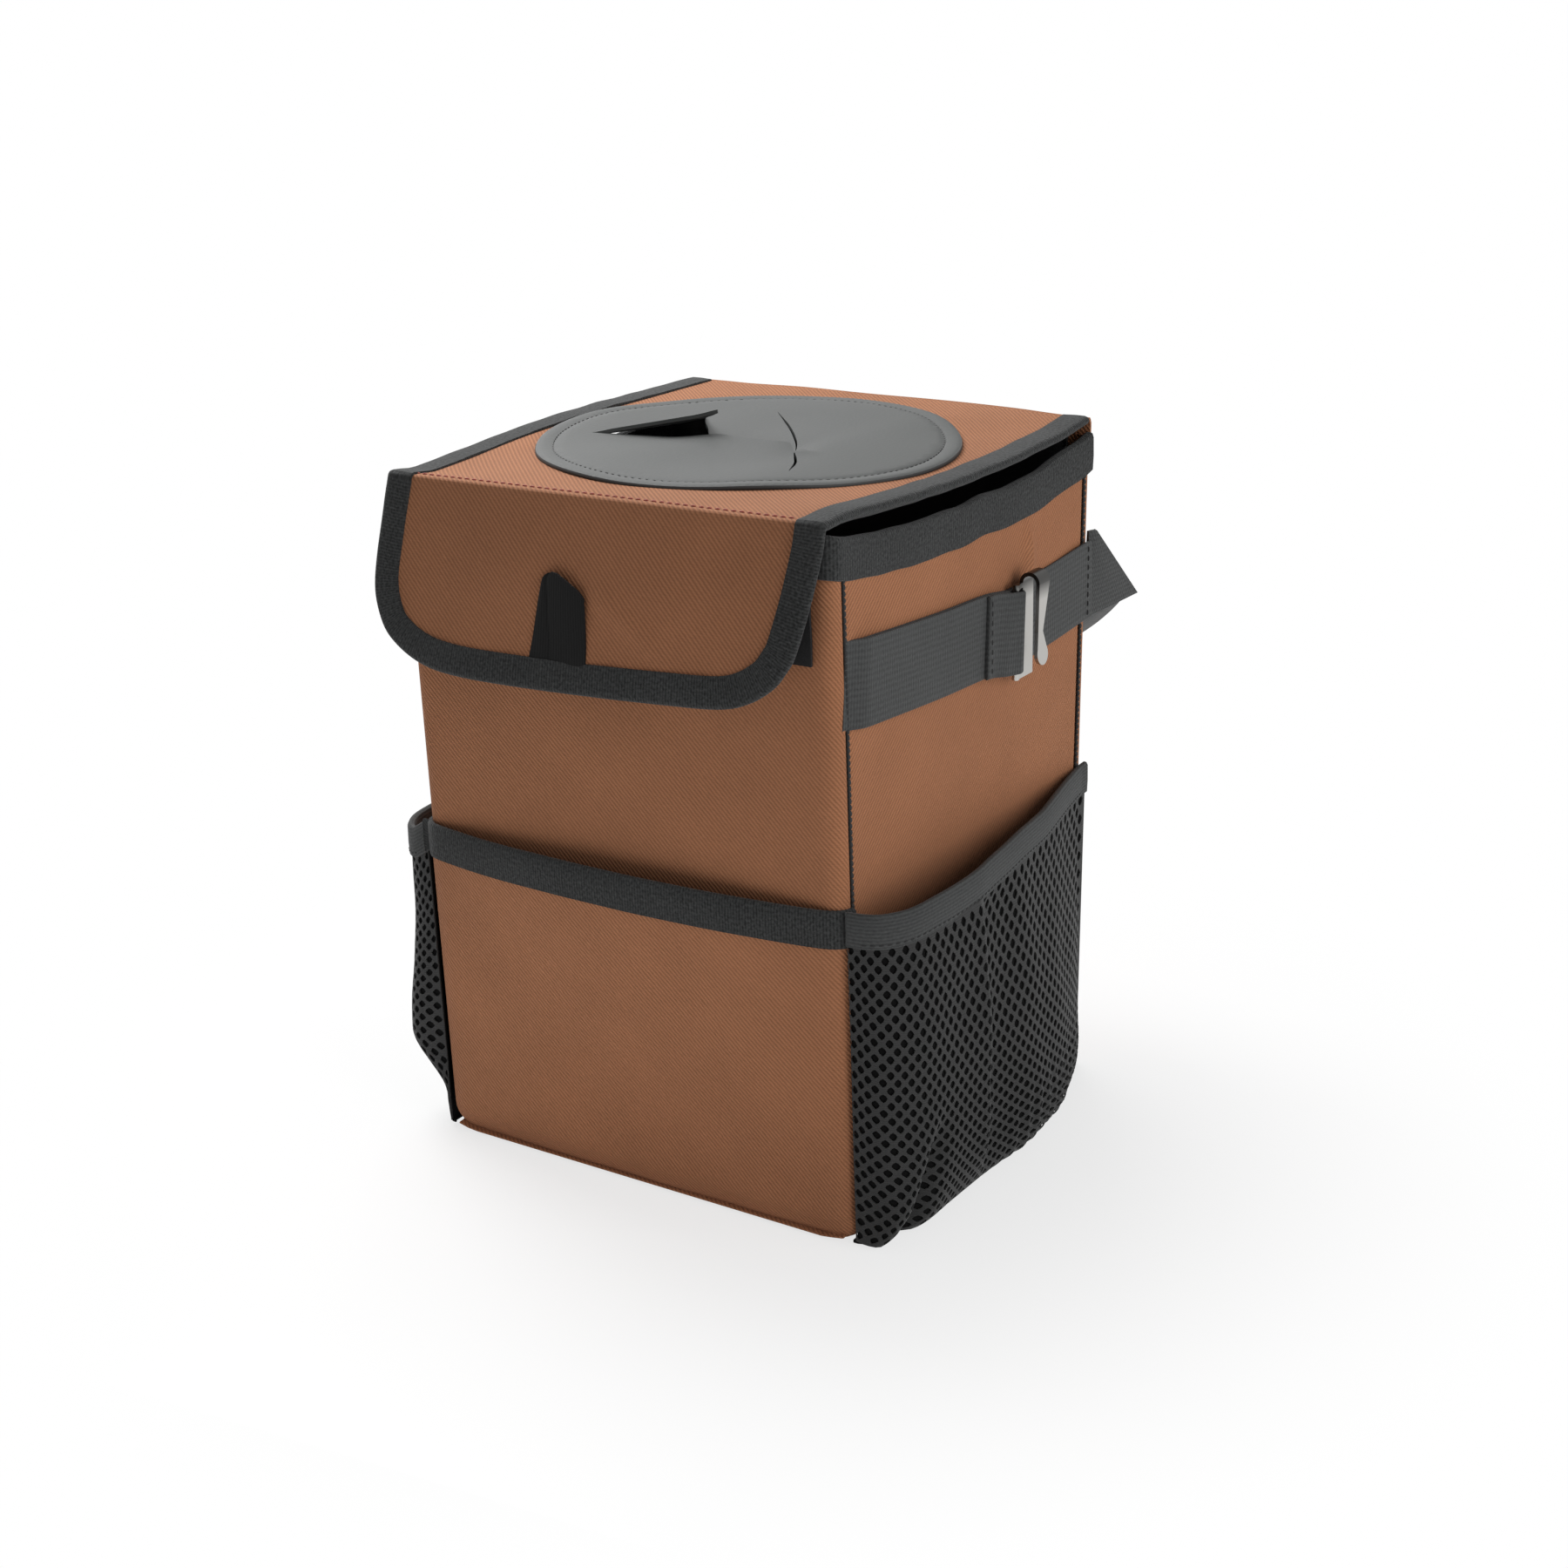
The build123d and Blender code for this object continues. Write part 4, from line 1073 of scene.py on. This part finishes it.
# Outer edge of the flap below its fold, as (across, down) places in millimetres.
FLAP_EDGE = [(-86.6, 0.0), (-88.4, 17), (-89.5, 36), (-86, 48.5), (-79.5, 56.5), (-67, 62.8), (-50, 65.3),
             (-21, 65.3), (8, 64.4), (33, 63.2), (56, 61.6), (67, 58.4), (76, 52.4), (80.6, 46), (83.2, 40), (87, 22),
             (89.2, 8), (89.6, 0.0)]
LID_HALF = 89.6      # half width of the lid
LID_TAPER = 3.0      # narrowing of the lid towards its left front corner
BACK_EDGE = 89.0     # place of the lid's back edge
SKEW = 0.02          # slope of the front fold across the bin
HOLE_RADIUS = 66.0   # hole under the disc
CANVAS_INSET = 0.6   # distance of the canvas inside the binding's edge
LINING_INSET = 4.4   # distance of the linings inside it
# Soft ridge that slants across the flap: its start and its way, as (across, down) in millimetres.
RIDGE_START, RIDGE_WAY = (4, 28.5), (35, 24.6)
# Rise of the lid's right, left and middle lines over a flat lid, by the place along them.
RIGHT_RISE = [(-98, 0.2), (-79, 0.4), (-57, -1.0), (-34, -2.2), (-11, -3.0), (14, -3.1), (40, -2.8), (67, -1.5),
              (81, -0.2), (94, 1.2)]
LEFT_RISE = [(-98, -1.6), (-61, -0.5), (-27, 1.4), (8, 2.3), (45, 2.0), (80, 1.6), (94, 1.4)]
MIDDLE_RISE = [(-98, 0.0), (0, 0.0), (40, 0.4), (70, 1.4), (94, 2.2)]
LID_RISE = [curve_through(line, 2.0) for line in (RIGHT_RISE, LEFT_RISE, MIDDLE_RISE)]


def left_taper(q):
    """How far the lid's left edge lies inside the right one, by the way forward from the front fold."""
    return LID_TAPER * (1 - smooth(0, 60, -q))


def skin(x, q, lift=0.0):
    """Point of the lid and flap over a flat pattern: q is the way forward from the lid's front fold."""
    tilt = sizes().flap_tilt
    turn = math.pi / 2 - tilt
    arc = FOLD * turn
    wave = ripple(x, q, 5, reach=34, depth=0.5) * (1 - smooth(60, 78, abs(x)))
    if q <= 0:
        y = FLAP_AXIS.y - q
        right, left, middle = (reading(line, y) for line in LID_RISE)
        edge = smooth(0.35, 1.0, abs(x) / LID_HALF)
        rise = middle + ((right if x > 0 else left) - middle) * edge
        z = LID_TOP + lift + rise * smooth(0, 12, -q) + wave * smooth(0, 14, -q)
        ahead = smooth(60, 0, -q)
        return Vector((x, y + SKEW * x * ahead, z))
    # Round the fold, then straight down the flap, which swells a little.
    bent = min(q / FOLD, turn)
    radius = FOLD + lift
    y = FLAP_AXIS.y - radius * math.sin(bent)
    z = FLAP_AXIS.z + radius * math.cos(bent)
    run = max(q - arc, 0.0)
    inner = 1 - smooth(36, 52, run)
    bulge = wave * smooth(0, 14, run) * inner
    bulge += 1.5 * math.sin(math.pi * min(run / 52, 1.0)) ** 2 * (1 - smooth(30, 76, abs(x)))
    (start, top), (wide, tall) = RIDGE_START, RIDGE_WAY
    t = ((x - start) * wide + (run - top) * tall) / (wide ** 2 + tall ** 2)
    off = ((x - start) * tall - (run - top) * wide) / math.hypot(wide, tall)
    bulge += 1.5 * math.exp(-(off / 3.0) ** 2) * smooth(-0.1, 0.15, t) * (1 - smooth(0.6, 1.0, t))
    y -= run * math.sin(tilt) + bulge * math.cos(tilt)
    z += -run * math.cos(tilt) + bulge * math.sin(tilt)
    return Vector((x, y + SKEW * x, z))


def normal(x, q):
    """Outward direction of the lid and flap over a flat pattern."""
    across = skin(x + 0.5, q) - skin(x - 0.5, q)
    down = skin(x, q + 0.3) - skin(x, q - 0.3)
    out = down.cross(across).normalized()
    return out if out.dot(Vector((0, -0.4, 1))) > 0 else -out


def flap_arc():
    """Length of pattern taken up by the fold."""
    return FOLD * (math.pi / 2 - sizes().flap_tilt)


def lid_pattern(inset):
    """Outline of the lid alone in its flat pattern, from the right back corner to the left."""
    back = FLAP_AXIS.y - BACK_EDGE
    half = LID_HALF - inset
    steps = 48
    right = [Vector((half, back * (1 - i / steps))) for i in range(steps + 1)]
    return right, [Vector((left_taper(p.y) - p.x, p.y)) for p in right[::-1]]


def flap_pattern(inset):
    """Outer edge of the flap in the flat pattern, from right to left."""
    line = curve_through([(x, d + flap_arc()) for x, d in FLAP_EDGE[::-1]], 2.0)
    heart = Vector((0, 25))
    result = []
    for p, run in zip(line, tangents(line)):
        out = Vector((-run.y, run.x))
        out = -out if out.dot(p - heart) < 0 else out
        result.append(p - out * inset)
    return result


def circle(radius, step, level=0.0):
    """Closed ring of flat points."""
    count = round(math.tau * radius / step)
    return [Vector((radius * math.cos(math.tau * i / count), radius * math.sin(math.tau * i / count) + level))
            for i in range(count)]


class BIN_OT_lid(bpy.types.Operator):
    """Cut the lid and flap from one canvas, fold it, line it and bind its edge"""

    bl_idname = "trash_bin.lid"
    bl_label = "Lid and flap"

    def execute(self, context):
        start = Vector((0, FLAP_AXIS.y + 0.6, LID_TOP)) * MM
        end = Vector((0, FLAP_AXIS.y - 1.6, FLAP_AXIS.z - 2)) * MM
        right, left = lid_pattern(CANVAS_INSET)
        flap = flap_pattern(CANVAS_INSET)
        hole = circle(HOLE_RADIUS, 4.0, FLAP_AXIS.y)
        # Rows of points along the fold, so that it bends evenly.
        arc = flap_arc()
        folds = [(x * 4.0, arc * k / 4) for x in range(-22, 23) for k in range(5)]
        places, triangles = cut([*right, *flap, *left], 4.5, [hole], folds)
        points = [skin(p.x, p.y) for p in places]
        faces = facing(points, triangles, MIDDLE)
        flat = [(p.x, -p.y) for p in places]
        canvas = piece("lid_and_flap_canvas", points, faces, flat, "polyester_canvas", None, CANVAS)
        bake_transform(canvas)
        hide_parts("lid_panel", "flap_panel")
        self.linings()
        self.binding(start, end)
        self.hinge()
        self.thread()
        return {"FINISHED"}

    def underside(self, name, body, outline, step, holes=()):
        """Board and film under the canvas, cut to an outline."""
        gap = 0.05
        places, triangles = cut(outline, step, holes)
        points = [skin(p.x, p.y, -CANVAS - gap) for p in places]
        faces = facing(points, triangles, MIDDLE)
        depth = LID_STACK - CANVAS - 2 * gap
        return piece(name, points, faces, [(p.x, p.y) for p in places], "waterproof_film", body, depth)

    def linings(self):
        """Board and film under the lid and behind the flap, both clear of the fold."""
        right, left = lid_pattern(LINING_INSET)
        outline = [p for p in [*right, *left] if p.y < -1.0]
        under = self.underside("lid_underside", "lid", outline, 7.0, [circle(HOLE_RADIUS, 4.0, FLAP_AXIS.y)])
        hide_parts("lid_lining", "lid_board")
        outline = [p for p in flap_pattern(LINING_INSET) if p.y > flap_arc() + 1.5]
        back = self.underside("flap_underside", "flap", outline, 6.0)
        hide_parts("flap_lining", "flap_board")

    def binding(self, start, end):
        """Tape folded over the edge, down one side of the lid, round the flap and up the other side."""
        right, left = lid_pattern(0.0)
        arc = [Vector((LID_HALF, flap_arc() * k / 5)) for k in range(1, 5)]
        line = [*right, *arc, *flap_pattern(0.0), *[Vector((LID_TAPER - p.x, p.y)) for p in arc[::-1]], *left]
        centres = [skin(p.x, p.y) for p in line]
        ups = [normal(p.x, p.y) for p in line]
        sides = [up.cross(run).normalized() for run, up in zip(tangents(centres), ups)]
        if sides[0].x < 0:
            sides = [-s for s in sides]
        wide = mm("tape_width")
        under = LID_STACK + 0.9
        profile = [(-wide, 0.05), (-wide + 0.3, 0.75), (-wide * 0.5, 1.0), (-1.4, 0.95), (-0.3, 0.55), (0.3, -0.2),
                   (0.3, -1.0), (-0.4, -2.0), (-1.8, -2.9), (-4.2, -under), (-wide * 0.6, -under),
                   (-wide + 0.3, -under + 0.2), (-wide, -under + 0.8)]
        for i, p in enumerate(centres):
            centres[i] = p + ups[i] * ripple(p.x, p.y, p.z, reach=12, depth=0.35)
        tape = sweep("lid_and_flap_tape", centres, sides, ups, profile, "grosgrain_tape")
        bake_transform(tape)
        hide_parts("lid_binding_right", "lid_binding_left", "flap_binding")

    def hinge(self):
        """Canvas that runs up from the back wall and bends over onto the lid."""
        reach = LID_TOP - LID_AXIS.z
        section = [(RIM_HALF + 0.3, z) for z in (244, 248, 252, 255, LID_AXIS.z)]
        section += [(LID_AXIS.y + reach * math.cos(a), LID_AXIS.z + reach * math.sin(a))
                    for a in angles(30, 91, 30)]
        section += [(LID_AXIS.y - 2, LID_TOP - 0.3), (BACK_EDGE - 2, LID_TOP - 0.6), (BACK_EDGE - 6, LID_TOP - 0.7)]
        places = np.linspace(-HALF_WIDTH + 1.2, HALF_WIDTH - 1.2, 41)
        rises = [skin(x, FLAP_AXIS.y - BACK_EDGE).z - LID_TOP for x in places]
        grid = [[Vector((x, y, z + rise * smooth(LID_AXIS.z, LID_TOP, z))) for x, rise in zip(places, rises)]
                for y, z in section]
        strip = cloth("hinge_canvas", grid, "polyester_canvas", None, CANVAS)
        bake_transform(strip)

    def thread(self):
        """Red-brown stitching along the lid's front crease."""
        line = [skin(x, -2.2, 0.05) for x in np.linspace(-78, 77, 60)]
        crease = stitches("crease_stitches", line, [UP] * len(line), "red_brown_thread", "lid",
                          length=2.4, gap=0.7, radius=0.36)


# Slit disc

# Corners of the disc's slits in plan: the open petal A B C, and the ends D, E and F of the others.
A, B, C = Vector((-57.3, -20.9)), Vector((-40, 28)), Vector((-9.3, -8.9))
D, E, F = Vector((23.6, -9.4)), Vector((-17, 42.4)), Vector((41, -40.4))
DISC_SHEET = 1.6     # thickness of the disc's leather
DISC_CENTRE = Vector((-1.5, -1.0))
DISC_EDGE = DISC_RADIUS + 1.5
STITCH_INSET = 6     # distance of the stitches inside the disc's edge
PETAL_LIFT = 14      # degrees that the open petal is turned up by


def slit(points, width):
    """Narrow closed loop round a line, pointed at both ends."""
    line = curve_through(points, 2.0)
    runs = tangents(line)
    one, two = [], []
    for i, (p, run) in enumerate(zip(line, runs)):
        half = width / 2 * min(1.0, 0.15 + 3 * min(i, len(line) - 1 - i) / len(line))
        off = Vector((-run.y, run.x)) * half
        one.append(p + off)
        two.append(p - off)
    return [*one, *two[::-1]]


class BIN_OT_disc(bpy.types.Operator):
    """Cut the slit disc and lift its open petal"""

    bl_idname = "trash_bin.disc"
    bl_label = "Slit disc"

    def ring(self, inset, step):
        """Closed ring of flat points inside the disc's edge."""
        return [p + DISC_CENTRE for p in circle(DISC_EDGE - inset, step)]

    def height(self, p):
        """Height of the disc's upper face over a flat place."""
        away = (p - DISC_CENTRE).length
        z = skin(p.x, FLAP_AXIS.y - p.y).z + DISC_SHEET
        # A groove under the stitches and a rounded edge.
        z -= 0.55 * math.exp(-((away - (DISC_EDGE - STITCH_INSET)) / 0.7) ** 2)
        z -= 0.4 * smooth(DISC_EDGE - 1.2, DISC_EDGE, away) ** 2
        # Along the slit C D the near lip stands up and the far one sinks.
        run = (D - C).normalized()
        below = (p - C).dot(Vector((run.y, -run.x)))
        along = (p - C).dot(run)
        lip = smooth(-22, 4, along) * (1 - smooth(26, 46, along))
        if below > 0:
            z += 2.6 * lip * math.exp(-below / 8)
        else:
            z -= 2.8 * lip * math.exp(below / 14) * smooth(44, 28, along)
        z += ripple(p.x, p.y, 11, reach=40, depth=0.5)
        return z

    def execute(self, context):
        bend = curve_through([C, (-19, -0.5), (-25, 7.5), (-33.5, 18), B], 2.0)
        root = curve_through([A, (-38.1, -13.2), (-22.5, -10.2), C], 2.0)
        void = [*root[:-1], *bend[:-1], *spread([B, A], 2.0)[:-1]]
        slits = [slit([C - Vector((1.0, 0)), (5.8, -9.5), D - Vector((1.2, 0))], 1.2),
                 slit([E, (-0.5, 24.5), (15.4, 4.2), D + Vector((-1.4, 2.6))], 1.0),
                 slit([D + Vector((2.2, -4)), (35.1, -27.1), F], 1.0),
                 [D + Vector((-3.2, 1.4)), D + Vector((1.4, 1.0)), D + Vector((3.0, -5.0))]]
        edge = self.ring(0.0, 3.0)
        insets = (0.5, 1.2, 2.2, 4.9, 5.5, STITCH_INSET, 6.5, 7.1)
        rings = [tuple(p) for inset in insets for p in self.ring(inset, 3.0)]
        places, triangles = cut(edge, 3.2, [void, *slits], rings)
        points = [Vector((p.x, p.y, self.height(p))) for p in places]
        faces = facing(points, triangles, Vector((0, 0, 0)))
        disc = piece("disc_leather", points, faces, [tuple(p) for p in places], "synthetic_leather", "lid", DISC_SHEET)
        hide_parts("opening_disc")
        line = [Vector((p.x, p.y, self.height(p))) for p in self.ring(0.0, 2.0)]
        line.append(line[0])
        outward = [(p.xy - DISC_CENTRE).normalized().to_3d() for p in line]
        profile = [(-0.3, 0.05), (0.15, 0.0), (0.4, -0.4), (0.4, -1.3), (0.1, -1.7), (-0.3, -1.7)]
        paint = sweep("disc_edge_paint", line, outward, [UP] * len(line), profile, "edge_paint", "lid")
        ring = [Vector((p.x, p.y, self.height(p) + 0.15)) for p in self.ring(STITCH_INSET, 1.5)]
        row = stitches("disc_stitches", [*ring, ring[0]], [UP] * (len(ring) + 1), "black_thread", "lid",
                       length=1.9, gap=1.0, radius=0.22)
        self.petal(void)
        return {"FINISHED"}

    def petal(self, void):
        """The triangle between the slits, turned up about its root and curled at its corner."""
        places, triangles = cut(void, 2.6)
        axis = (B - A).normalized()
        out = Vector((axis.y, -axis.x))
        if out.dot(C - A) < 0:
            out = -out
        reach = (C - A).dot(out)
        points = []
        for p in places:
            away = max((p - A).dot(out), 0.0)
            turn = math.radians(PETAL_LIFT) * smooth(-4, 6, away)
            curl = smooth(0.82, 1.0, away / reach)
            flat = (p - A).dot(axis) * axis + A + out * (away * math.cos(turn) + 1.2 * curl)
            z = self.height(p - out * away) + away * math.sin(turn) + 0.8 * curl
            points.append(Vector((flat.x, flat.y, z)))
        faces = facing(points, triangles, Vector((0, 0, 0)))
        petal = piece("disc_petal", points, faces, [tuple(p) for p in places], "synthetic_leather", "lid",
                      DISC_SHEET * 0.8)


# Tab and pads

class BIN_OT_fastenings(bpy.types.Operator):
    """Add the pull tab and the hook and loop pads"""

    bl_idname = "trash_bin.fastenings"
    bl_label = "Tab and pads"

    def execute(self, context):
        self.tab()
        for name in ("right", "left"):
            for kind in ("hook", "loop"):
                self.pad(name, kind)
        return {"FINISHED"}

    def flap_point(self, x, down, lift):
        """Point over the flap, a way down from the fold."""
        q = flap_arc() + down
        return skin(x, q) + normal(x, q) * lift

    def tab(self):
        """Tape folded double on a slant, so that its two ends lie side by side and its top stands open."""
        # Layers: the upper edge and the two ends of the foot as (across, down) places, then lift at the root and swell.
        layers = {
            "pull_tab_front": ([(-13.2, 27.0), (-11.6, 24.9), (-8, 25.6), (-2, 28.6), (2.4, 31.6), (2.9, 33.6)],
                               [(-11.2, 57), (3.3, 57)], 0.3, 2.2),
            "pull_tab_back": ([(-16.2, 30.4), (-14.9, 26.8), (-12.6, 25.2), (-11.0, 26.0)],
                              [(-20.6, 57), (-10.4, 57)], 0.1, 1.2),
        }
        steps = 14
        for name, (top, foot, root, swell) in layers.items():
            upper = curve_through(top, 0.5)
            total = lengths(upper)
            grid = []
            for r in range(steps + 1):
                v = r / steps
                row = []
                for c in range(steps + 1):
                    u = c / steps
                    start = at_length(upper, total, u * total[-1])
                    p = start.lerp(Vector(foot[0]).lerp(Vector(foot[1]), u), v)
                    lift = root + swell * (1 - v) ** 0.7 * (0.55 + 0.45 * math.sin(math.pi * u))
                    row.append(self.flap_point(p.x, p.y, lift))
                grid.append(row)
            part = cloth(name, grid, "polyester_ribbon", "flap", 0.8)
        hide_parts("pull_tab")

    def pad(self, name, kind):
        """One pad: the hook side behind the flap, the loop side on the front wall."""
        node = f"{name}_{kind}_pad"
        x0, x1, z0, z1 = low(node, 0), high(node, 0), low(node, 2), high(node, 2)
        steps = 6
        grid = []
        for r in range(steps + 1):
            row = []
            for c in range(steps + 1):
                x, z = x0 + (x1 - x0) * c / steps, z0 + (z1 - z0) * r / steps
                uneven = ripple(x, z, 2, reach=9, depth=0.25)
                if kind == "loop":
                    row.append(Vector((x, -wall(z) - 1.3 + uneven, z)))
                else:
                    down = (LID_TOP - z) / math.cos(sizes().flap_tilt)
                    row.append(self.flap_point(x, down, -LID_STACK - 1.1 + uneven))
            grid.append(row)
        pad = cloth(f"{name}_{kind}_tape", grid, "hook_and_loop_tape", "bin" if kind == "loop" else "flap", 1.0,
                    MIDDLE, inward=kind == "hook")
        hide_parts(node)


# Stage

AIM = Vector((0, 0, 0.13))          # place that the camera and the lights look at, in metres
FLOOR_HALF = 6.0                    # half width of the floor
FLOOR_LEVEL = -0.0006               # its height, clear of the base
# Lights: place and width in metres, and power in watts.
LIGHTS = {
    "key_light": ((-0.9, 0.7, 1.5), 1.3, 21.0),
    "left_light": ((-0.45, 0.1, 0.7), 0.3, 3.2),
    "side_light": ((1.68, -0.12, 0.58), 1.4, 17.0),
    "low_light": ((0.03, -0.28, 0.02), 0.2, 0.145),
}
# Camera: way round from the front, rise and roll in degrees, distance in metres, lens in millimetres and shift.
AZIMUTH, RISE, TWIST = 33.716, 19.333, -1.488
DISTANCE = 0.943485
LENS, SENSOR = 57.32, 36.0
SHIFT = (0.01367, -0.0025)


def seen_rays(tree):
    """1 for rays that the camera sees straight, in a reflection or through a surface, and 0 for the rest."""
    path = add(tree, "ShaderNodeLightPath").outputs
    seen = path["Is Camera Ray"]
    for kind in ("Is Glossy Ray", "Is Transmission Ray"):
        seen = add(tree, "ShaderNodeMath", {0: seen, 1: path[kind]}, operation="MAXIMUM").outputs[0]
    return seen


class BIN_OT_stage(bpy.types.Operator):
    """Set the floor, light, background and camera"""

    bl_idname = "trash_bin.stage"
    bl_label = "Stage"

    def execute(self, context):
        scene = context.scene
        scene.view_settings.view_transform = "Standard"
        self.floor()
        self.world(scene)
        for name, (place, width, power) in LIGHTS.items():
            self.light(name, place, width, power)
        self.camera(scene)
        return {"FINISHED"}

    def floor(self):
        """A plain pale floor just under the base."""
        material = bpy.data.materials.new("pale_floor")
        material.use_nodes = True
        tree = material.node_tree
        tree.nodes.clear()
        paint = add(tree, "ShaderNodeBsdfDiffuse", {"Color": (0.9, 0.9, 0.9, 1)})
        white = add(tree, "ShaderNodeEmission", {"Color": (1, 1, 1, 1), "Strength": 1.0})
        # Away from the bin the floor fades to the plain white of the background.
        place = add(tree, "ShaderNodeTexCoord").outputs["Object"]
        away = add(tree, "ShaderNodeVectorMath", {0: place}, operation="LENGTH").outputs["Value"]
        share = add(tree, "ShaderNodeMapRange", {"Value": away, "From Min": 0.10, "From Max": 0.32, "To Min": 0.72},
                    interpolation_type="SMOOTHSTEP").outputs["Result"]
        share = add(tree, "ShaderNodeMath", {0: share, 1: seen_rays(tree)}, operation="MULTIPLY").outputs[0]
        mixed = add(tree, "ShaderNodeMixShader", {0: share, 1: paint.outputs[0], 2: white.outputs[0]})
        add(tree, "ShaderNodeOutputMaterial", {"Surface": mixed.outputs[0]})
        mesh = bpy.data.meshes.new("floor")
        corners = [(x * FLOOR_HALF, y * FLOOR_HALF, FLOOR_LEVEL) for x, y in ((-1, -1), (1, -1), (1, 1), (-1, 1))]
        mesh.from_pydata(corners, [], [(0, 1, 2, 3)])
        mesh.materials.append(material)
        floor = bpy.data.objects.new("floor", mesh)
        bpy.context.scene.collection.objects.link(floor)

    def world(self, scene):
        """A white background that lights the object softly."""
        world = bpy.data.worlds.new("white_room")
        scene.world = world
        world.use_nodes = True
        tree = world.node_tree
        tree.nodes.clear()
        white = add(tree, "ShaderNodeBackground", {"Color": (1, 1, 1, 1), "Strength": 1.0})
        ambient = add(tree, "ShaderNodeBackground", {"Color": (1, 1, 1, 1), "Strength": 0.2})
        mixed = add(tree, "ShaderNodeMixShader", {0: seen_rays(tree), 1: ambient.outputs[0], 2: white.outputs[0]})
        add(tree, "ShaderNodeOutputWorld", {"Surface": mixed.outputs[0]})

    def light(self, name, place, width, power):
        """A soft square light aimed at the bin."""
        lamp = bpy.data.lights.new(name, "AREA")
        lamp.shape = "SQUARE"
        lamp.size = width
        lamp.energy = power
        obj = bpy.data.objects.new(name, lamp)
        obj.location = place
        obj.rotation_euler = (AIM - Vector(place)).to_track_quat("-Z", "Y").to_euler()
        bpy.context.scene.collection.objects.link(obj)

    def camera(self, scene):
        """The photo's view, from the right of the front and a little above."""
        azimuth, rise, roll = (math.radians(d) for d in (AZIMUTH, RISE, TWIST))
        back = Vector((math.sin(azimuth) * math.cos(rise), -math.cos(azimuth) * math.cos(rise), math.sin(rise)))
        level = Vector((math.cos(azimuth), math.sin(azimuth), 0))
        up = back.cross(level)
        right = math.cos(roll) * level + math.sin(roll) * up
        upright = back.cross(right)
        lens = bpy.data.cameras.new("camera")
        lens.lens = LENS
        lens.sensor_width = SENSOR
        lens.shift_x, lens.shift_y = SHIFT
        camera = bpy.data.objects.new("camera", lens)
        turn = Matrix((right, upright, back)).transposed().to_4x4()
        camera.matrix_world = Matrix.Translation(AIM + back * DISTANCE) @ turn
        scene.collection.objects.link(camera)
        scene.camera = camera


class BIN_PT_panel(bpy.types.Panel):
    """Sizes, colours and building steps of the trash bin"""

    bl_idname = "BIN_PT_panel"
    bl_label = "Trash bin"
    bl_space_type = "VIEW_3D"
    bl_region_type = "UI"
    bl_category = "Trash bin"

    def draw(self, context):
        for group in (context.scene.bin_sizes, context.scene.bin_colours):
            for name in group.__annotations__:
                self.layout.prop(group, name)
        for step in STEPS:
            self.layout.operator(step.bl_idname)


STEPS = (BIN_OT_materials, BIN_OT_body, BIN_OT_rim, BIN_OT_front_pocket, BIN_OT_mesh_pockets, BIN_OT_webbing,
         BIN_OT_lid, BIN_OT_disc, BIN_OT_fastenings, BIN_OT_stage)


def register():
    for kind in (BinSizes, BinColours, *STEPS, BIN_PT_panel):
        bpy.utils.register_class(kind)
    bpy.types.Scene.bin_sizes = PointerProperty(type=BinSizes)
    bpy.types.Scene.bin_colours = PointerProperty(type=BinColours)


def unregister():
    del bpy.types.Scene.bin_colours
    del bpy.types.Scene.bin_sizes
    for kind in (BIN_PT_panel, *STEPS[::-1], BinColours, BinSizes):
        bpy.utils.unregister_class(kind)


def main():
    """Builds the whole scene."""
    register()
    bpy.ops.trash_bin.materials()
    bpy.ops.trash_bin.body()
    bpy.ops.trash_bin.rim()
    bpy.ops.trash_bin.front_pocket()
    bpy.ops.trash_bin.mesh_pockets()
    bpy.ops.trash_bin.webbing()
    bpy.ops.trash_bin.lid()
    bpy.ops.trash_bin.disc()
    bpy.ops.trash_bin.fastenings()
    bpy.ops.trash_bin.stage()


if __name__ == "__main__":
    main()
